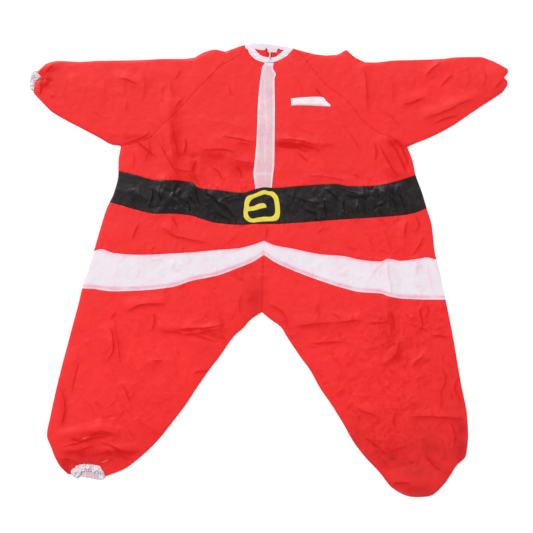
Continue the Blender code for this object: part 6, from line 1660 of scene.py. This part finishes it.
BUCKLE_OUTSIDE = (
    (-4.0, 80.1), (-0.9, 78.7), (3.5, 78.7), (6.8, 76.5), (9.3, 72.9), (10.4, 68), (11.1, 62.5), (11.2, 56.9),
    (10.6, 52.5), (8.4, 49.5), (5.7, 48.7), (-3.1, 48.4), (-9.8, 47.9), (-15.8, 47.1), (-19.7, 47.7),
    (-23.3, 49.8), (-25.2, 52.5), (-25.6, 58), (-24.9, 63.6), (-24.4, 69.1), (-23.0, 72.4), (-20.2, 74.6),
    (-15.8, 75.7), (-12.0, 77.3), (-7.6, 79.3))
BUCKLE_INSIDE = (
    (-19.95, 63.0), (-19.6, 66.3), (-18.3, 69.1), (-15.8, 71.3), (-12, 72.9), (-8.1, 74.3), (-4, 75.7),
    (-1.5, 74.8), (1.3, 74.3), (3.7, 72.4), (5.1, 69.6), (5.6, 65.8), (6.1, 61.3), (6.1, 57.5), (5.1, 55),
    (2.9, 53.4), (-0.9, 53.2), (-6.5, 53.2), (-10.9, 52.5), (-14.2, 51.5), (-17.5, 51.4), (-19.7, 53.1),
    (-20.9, 55.8), (-21.1, 58.6), (-15.8, 59), (-12, 60), (-7.6, 61.3), (-4.2, 61.9), (-2.0, 62.5),
    (-3.1, 65.5), (-5.3, 67), (-9.2, 66.6), (-12, 65.5), (-15.3, 63.8))
BUCKLE_CORNER, BUCKLE_INNER_CORNER = 3.2, 1.2   # squares
CORNER_SHARE = 0.4          # the largest share of a side that one rounded corner takes
CORNER_POINTS = 8
BUCKLE_THICKNESS = 0.0020
BUCKLE_VOXEL = 0.0011
BUCKLE_REACH = 0.004        # it follows the highest point within this distance
BUCKLE_FILLED = 0.48        # the share of the box round it that it fills
NAP, NAP_SIZE = 0.00015, 0.004


def felt_group():
    """Yellow felt: short fibres, mottled, with ochre shadows."""
    group, given, where = new_group(
        "felt", {"Colour": (0.80, 0.68, 0.080, 1.0), "Shadow": (0.46, 0.33, 0.04, 1.0),
                 "Fibre Height": 0.0002})
    fibres, mottle = where.noise(900.0, 6.0), where.noise(130.0, 4.0, roughness=0.7)
    # Random patches and the mottle mix the felt towards its ochre shadow colour.
    ochre_patches = (where.noise(42.0, 3.0) - 0.56).largest(0.0)
    dark = (1.4 * mottle**3.0 + 4.0 * ochre_patches).clamped()
    return put_out(group, dark.mixed(given["Colour"], given["Shadow"]), 0.8 + 0.15 * fibres,
                   fibres * given["Fibre Height"] + 0.0006 * mottle)


YELLOW_FELT = cloth_material("yellow_felt", felt_group(), {}, 0.15, 0.2)


def rounded(corners, radius):
    """A loop through some corners, each rounded off, in metres."""
    corners = np.asarray(corners, float)
    loop = []
    for i, point in enumerate(corners):
        ends = []
        for other in (corners[i - 1], corners[(i + 1) % len(corners)]):
            length = np.linalg.norm(other - point)
            ends.append(point + (other - point) / length * min(radius, CORNER_SHARE * length))
        for t in np.linspace(0, 1, CORNER_POINTS):
            loop.append((1 - t)**2 * ends[0] + 2 * t * (1 - t) * point + t**2 * ends[1])
    return place(loop)


buckle_loops = rounded(BUCKLE_OUTSIDE, BUCKLE_CORNER), rounded(BUCKLE_INSIDE, BUCKLE_INNER_CORNER)
shape = cut_out(buckle_loops, 0.0, BUCKLE_THICKNESS)
buckle_mesh = bpy.data.meshes.new("belt_buckle_felt")
shape.to_mesh(buckle_mesh)
shape.free()
buckle = bpy.data.objects.new("belt_buckle_felt", buckle_mesh)
bpy.context.collection.objects.link(buckle)
remesh = buckle.modifiers.new("remesh", "REMESH")
remesh.mode, remesh.voxel_size = "VOXEL", BUCKLE_VOXEL
smooth = buckle.modifiers.new("smooth", "SMOOTH")
smooth.factor, smooth.iterations = 0.5, 3
shown = buckle.evaluated_get(bpy.context.evaluated_depsgraph_get())
soft_mesh = bpy.data.meshes.new_from_object(shown)
buckle.modifiers.clear()
buckle.data = soft_mesh
coordinates = np.empty(3 * len(soft_mesh.vertices))
soft_mesh.vertices.foreach_get("co", coordinates)
coordinates = coordinates.reshape(-1, 3)
coordinates[:, 2] += np.max(front_round(coordinates[:, None, :2], BUCKLE_REACH), axis=0)[:, 0]
coordinates[:, 2] += NAP * value_noise(coordinates[:, :2], NAP_SIZE, 71)
soft_mesh.vertices.foreach_set("co", coordinates.ravel())
soft_mesh.shade_smooth()
soft_mesh.materials.clear()
soft_mesh.materials.append(YELLOW_FELT)
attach(buckle, "suit")
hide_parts("belt_buckle")
buckle_box = np.ptp(buckle_loops[0], axis=0)
float(BUCKLE_FILLED * buckle_box.prod())

# The elastic cuffs.
# White knitted elastic, sewn on and gathered to a frill of uneven puffs. The right wrist and ankle show theirs.
# The left ones are turned in and lie hidden between the layers.

# The ankle's frill by its distance across, and the wrist's by its height: where its seam and its two edges are
FrillPoint = namedtuple("FrillPoint", "along seam front back")
ANKLE = [FrillPoint(*row) for row in (
    (-198.0, -200.9, -202.6, -203.0), (-196.4, -198.7, -204.8, -205.0), (-194.2, -198.0, -206.2, -206.2),
    (-192.0, -195.8, -206.6, -206.6), (-189.5, -194.9, -205.0, -206.2), (-187.0, -194.3, -201.6, -206.2),
    (-185.0, -194.2, -200.6, -206.4), (-182.0, -194.8, -201.8, -207.0), (-178.0, -195.2, -201.4, -207.8),
    (-174.0, -195.8, -202.6, -208.8), (-169.6, -195.6, -203.0, -209.3), (-167.4, -198.6, -204.2, -209.0),
    (-164.2, -205.0, -207.0, -207.8),
)]
WRIST = [FrillPoint(*row) for row in (
    (179.7, -234.9, -235.6, -235.9), (181.5, -234.6, -238.2, -238.6), (183.5, -234.2, -239.0, -239.5),
    (186.3, -233.9, -238.8, -239.4), (188.8, -232.6, -238.3, -239.0), (190.8, -230.5, -237.9, -238.6),
    (192.2, -229.0, -237.6, -238.3), (193.5, -227.6, -237.3, -238.0), (195.0, -229.4, -236.9, -237.6),
    (196.6, -230.6, -236.3, -236.9), (198.0, -230.6, -235.6, -236.0), (199.0, -230.6, -233.6, -234.0),
)]
FRILL_COLUMNS, FRILL_ROWS = 180, 24
TUCK = (-0.16, -0.08)       # the frill's first rows lie under the cloth, as shares of its width
PUFF_RAMP = 0.10            # it rises from its seam over this share of its width
FRILL_FULLNESS = 1.05       # how much longer the frill is than the seam that it is gathered to
TUFTS = ((-192.8, 0.9), (-189.0, 0.7), (-184.6, 0.8), (-179.6, 1.2), (-176.6, 1.1), (-172.0, 0.8))
TUFT_WIDE = 0.8
FRILL_WALL = 0.0005
BACK_SEAM_LOWER = 2.0       # squares: the seam of the ankle's back frill is this much lower
FRILL_RAGGED = 0.0022       # how far its free edge goes in and out
UNDER_FRONT = 0.0009        # a cuff that is turned in stays this far below the front's upper face
TURNED_IN_LOW = 0.0006
FRONT_LOW = 0.0003          # the front frill starts this high, below the end of the cloth that it is sewn to
ON_BACK_LOW = 0.0009        # the back of the ankle's frill lies on the back of the leg
IN_SLEEVE_LOW = 0.0003      # and that of the wrist's starts inside the sleeve
# The cuffs that are turned in: one end of the seam, the other end, and how far in the frill reaches, in squares
TurnedIn = namedtuple("TurnedIn", "node start stop inward")
TURNED_IN = (
    TurnedIn("ankle_cuff_left", (129.5, -211.6), (162.5, -211.6), (0, 4.2)),
    TurnedIn("wrist_cuff_left", (227.6, 180.0), (227.6, 200.2), (-4.2, 0)),
)
UNDER_REACH = 0.003         # a cuff between the layers keeps under the lowest point this near
INSIDE_SHADE_AT, INSIDE_SHADE_WIDE = 0.42, 0.26     # where the back of the ankle's frill is in shade


def elastic_group():
    """White knitted elastic: knobbly, with painted pink shade in its hollows and specks of grey."""
    group, given, where = new_group(
        "elastic", {"Colour": (0.80, 0.77, 0.82, 1.0), "Hollow": (0.60, 0.42, 0.48, 1.0),
                    "Speck": (0.42, 0.46, 0.45, 1.0), "Knot Height": 0.0007})
    patchy, knots = where.noise(240.0, 3.0), where.noise(520.0, 3.0, roughness=0.6)
    # The hollow mask is painted shade: between the puffs, along the seam, and inside the ankle's back frill.
    hollow = (stored(group, "hollow") * (0.35 + 1.3 * patchy)).clamped()
    specks = (4.5 * (where.noise(330.0, 2.0) - 0.56)).clamped()
    colour = specks.mixed(hollow.mixed(given["Colour"], given["Hollow"]), given["Speck"])
    return put_out(group, colour, 0.62 + 0.15 * patchy, (knots + patchy) * given["Knot Height"])


WHITE_ELASTIC = cloth_material("white_elastic", elastic_group(), {}, 0.25)


def frill(seam, edge, base, height, knot, seed, lowest, ceiling=None):
    """A wall from a seam to a free edge, in uneven knots: the wall, its grid and its hollows' painted shade."""
    share = np.concatenate([TUCK, np.linspace(0, 1, FRILL_ROWS - 1)])[:, None]
    flat = np.dstack([(1 - share) * seam[None, :, i] + share * edge[None, :, i] for i in range(2)])
    widths = np.linalg.norm(edge - seam, axis=1)
    across_band = share * widths[None, :] * SQUARE
    along = np.broadcast_to(travelled(place((seam + edge) / 2))[None, :], across_band.shape)
    folds = value_noise(np.column_stack([along.ravel(), 0.30 * across_band.ravel()]), knot, seed)
    lumps = value_noise(np.column_stack([along.ravel(), across_band.ravel()]), 0.55 * knot, seed + 1)
    puff = 0.65 * (1 - 1.7 * np.abs(folds)) + 0.5 * (1 - 1.9 * np.abs(lumps))
    puff = np.clip(puff, 0, 1).reshape(across_band.shape)
    outward = (edge - seam) / widths[:, None]
    grid = place(flat) + (FRILL_RAGGED * (puff - 0.5) * np.clip(share, 0, 1))[:, :, None] * outward[None]
    rise = base - lowest + height * puff * (0.5 + 0.5 * np.sin(math.pi * share * 0.9))
    top = lowest + FRILL_WALL + np.clip(share / PUFF_RAMP, 0, 1) * rise
    if ceiling is not None:
        top = np.clip(top, lowest + FRILL_WALL, ceiling(grid))
    # Painted shade between the puffs and along the seam.
    hollow = np.clip(1.15 - 1.5 * puff, 0, 1) + 0.5 * np.exp(-np.abs(share) / 0.08)
    if np.cross(grid[0, -1] - grid[0, 0], grid[-1, 0] - grid[0, 0]) > 0:
        grid, top, hollow = grid[:, ::-1], top[:, ::-1], hollow[:, ::-1]
    return cloth_wall(grid, top, lowest, FRILL_WALL, 2), grid, np.clip(hollow, 0, 1)


def make_cuff(node, parts):
    """A cuff from its walls."""
    walls, grids, masks = zip(*parts)
    made = make_piece(node, walls, WHITE_ELASTIC, masks={"hollow": masks})
    state_strip(made, grids, FRILL_FULLNESS)


across = np.linspace(ANKLE[0].along, ANKLE[-1].along, FRILL_COLUMNS + 1)
seam_ups = trace(ANKLE, "along", "seam", across)
tufts = sum(size * np.exp(-((across - spot) / TUFT_WIDE)**2) for spot, size in TUFTS)
front_edge, back_edge = (np.column_stack([across, trace(ANKLE, "along", edge, across)])
                         for edge in ("front", "back"))
front_seam = np.column_stack([across, seam_ups + tufts])
ankle_front = frill(front_seam, front_edge, 0.0030, 0.0034, 0.0070, 81, FRONT_LOW)
wall, grid, hollow = frill(np.column_stack([across, seam_ups - BACK_SEAM_LOWER]), back_edge, 0.0010, 0.0012,
                           0.0085, 83, ON_BACK_LOW)
place_along = np.linspace(0, 1, FRILL_COLUMNS + 1)[None, :]
inside_shade = np.exp(-((place_along - INSIDE_SHADE_AT) / INSIDE_SHADE_WIDE)**2)
make_cuff("ankle_cuff_right", [ankle_front, (wall, grid, np.clip(0.6 * hollow + 0.8 * inside_shade, 0, 1))])

ups = np.linspace(WRIST[0].along, WRIST[-1].along, FRILL_COLUMNS + 1)
seam, front, back = (np.column_stack([trace(WRIST, "along", edge, ups), ups])
                     for edge in ("seam", "front", "back"))
wrist_front = frill(seam, front, 0.0024, 0.0028, 0.0075, 85, FRONT_LOW)
wrist_back = frill(seam, back, 0.0007, 0.0008, 0.0085, 87, IN_SLEEVE_LOW)
make_cuff("wrist_cuff_right", [wrist_front, wrist_back])


def under_front(grid):
    """The highest that a piece between the layers can reach."""
    return np.min(front_round(grid, UNDER_REACH)[1:], axis=0) - UNDER_FRONT


for cuff in TURNED_IN:
    seam = np.linspace(cuff.start, cuff.stop, FRILL_COLUMNS + 1)
    hidden = frill(seam, seam + np.array(cuff.inward), 0.0004, 0.0010, 0.0080, 93, TURNED_IN_LOW, under_front)
    make_cuff(cuff.node, [hidden])

# The floor, the light and the camera.
# The suit is shown on pure white, from straight above, in plain soft studio light from the upper left.

PHOTO_PIXELS = 533
PHOTO_MIDDLE = (-2.5, 3.5)  # the middle of the picture on the drawing, in squares
LENS, SENSOR = 135.0, 36.0  # millimetres
Lamp = namedtuple("Lamp", "name from_point power softness")
LAMPS = (
    Lamp("key_light", (-0.50, 0.80, 0.76), 3.75, 16),    # softness in degrees
    Lamp("right_light", (0.90, -0.10, 0.44), 0.90, 40),
    Lamp("low_light", (-0.30, -0.90, 0.44), 0.90, 40),
)
ROOM_LIGHT = 0.14
PAPER_GREY = 0.95
FLOOR_SIDE = 12.0
FLOOR_DROP = 0.0003

scene = bpy.context.scene
middle_x, middle_y = place([PHOTO_MIDDLE])[0]
camera_data = bpy.data.cameras.new("camera")
camera_data.lens, camera_data.sensor_width = LENS, SENSOR
camera = bpy.data.objects.new("camera", camera_data)
camera.location = (middle_x, middle_y, PHOTO_PIXELS * SQUARE * LENS / SENSOR)
scene.collection.objects.link(camera)
scene.camera = camera

for lamp in LAMPS:
    light_data = bpy.data.lights.new(lamp.name, "SUN")
    light_data.energy, light_data.angle = lamp.power, math.radians(lamp.softness)
    light = bpy.data.objects.new(lamp.name, light_data)
    light.rotation_euler = (-Vector(lamp.from_point)).to_track_quat("-Z", "Y").to_euler()
    scene.collection.objects.link(light)

world = bpy.data.worlds.new("studio")
world.use_nodes = True
world.node_tree.nodes["Background"].inputs["Color"].default_value = (1.0, 1.0, 1.0, 1.0)
world.node_tree.nodes["Background"].inputs["Strength"].default_value = ROOM_LIGHT
scene.world = world
scene.view_settings.view_transform = "Standard"

half = FLOOR_SIDE / 2
floor_corners = [(x, y, -FLOOR_DROP) for x, y in ((-half, -half), (half, -half), (half, half), (-half, half))]
floor_mesh = bpy.data.meshes.new("floor")
floor_mesh.from_pydata(floor_corners, [], [(0, 1, 2, 3)])
floor = bpy.data.objects.new("floor", floor_mesh)
scene.collection.objects.link(floor)
paper = bpy.data.materials.new("studio_paper")
paper.use_nodes = True
paper_shader = paper.node_tree.nodes["Principled BSDF"]
for socket, value in (("Base Color", (PAPER_GREY, PAPER_GREY, PAPER_GREY, 1.0)), ("Roughness", 1.0),
                      ("Specular IOR Level", 0.0)):
    paper_shader.inputs[socket].default_value = value
floor_mesh.materials.append(paper)
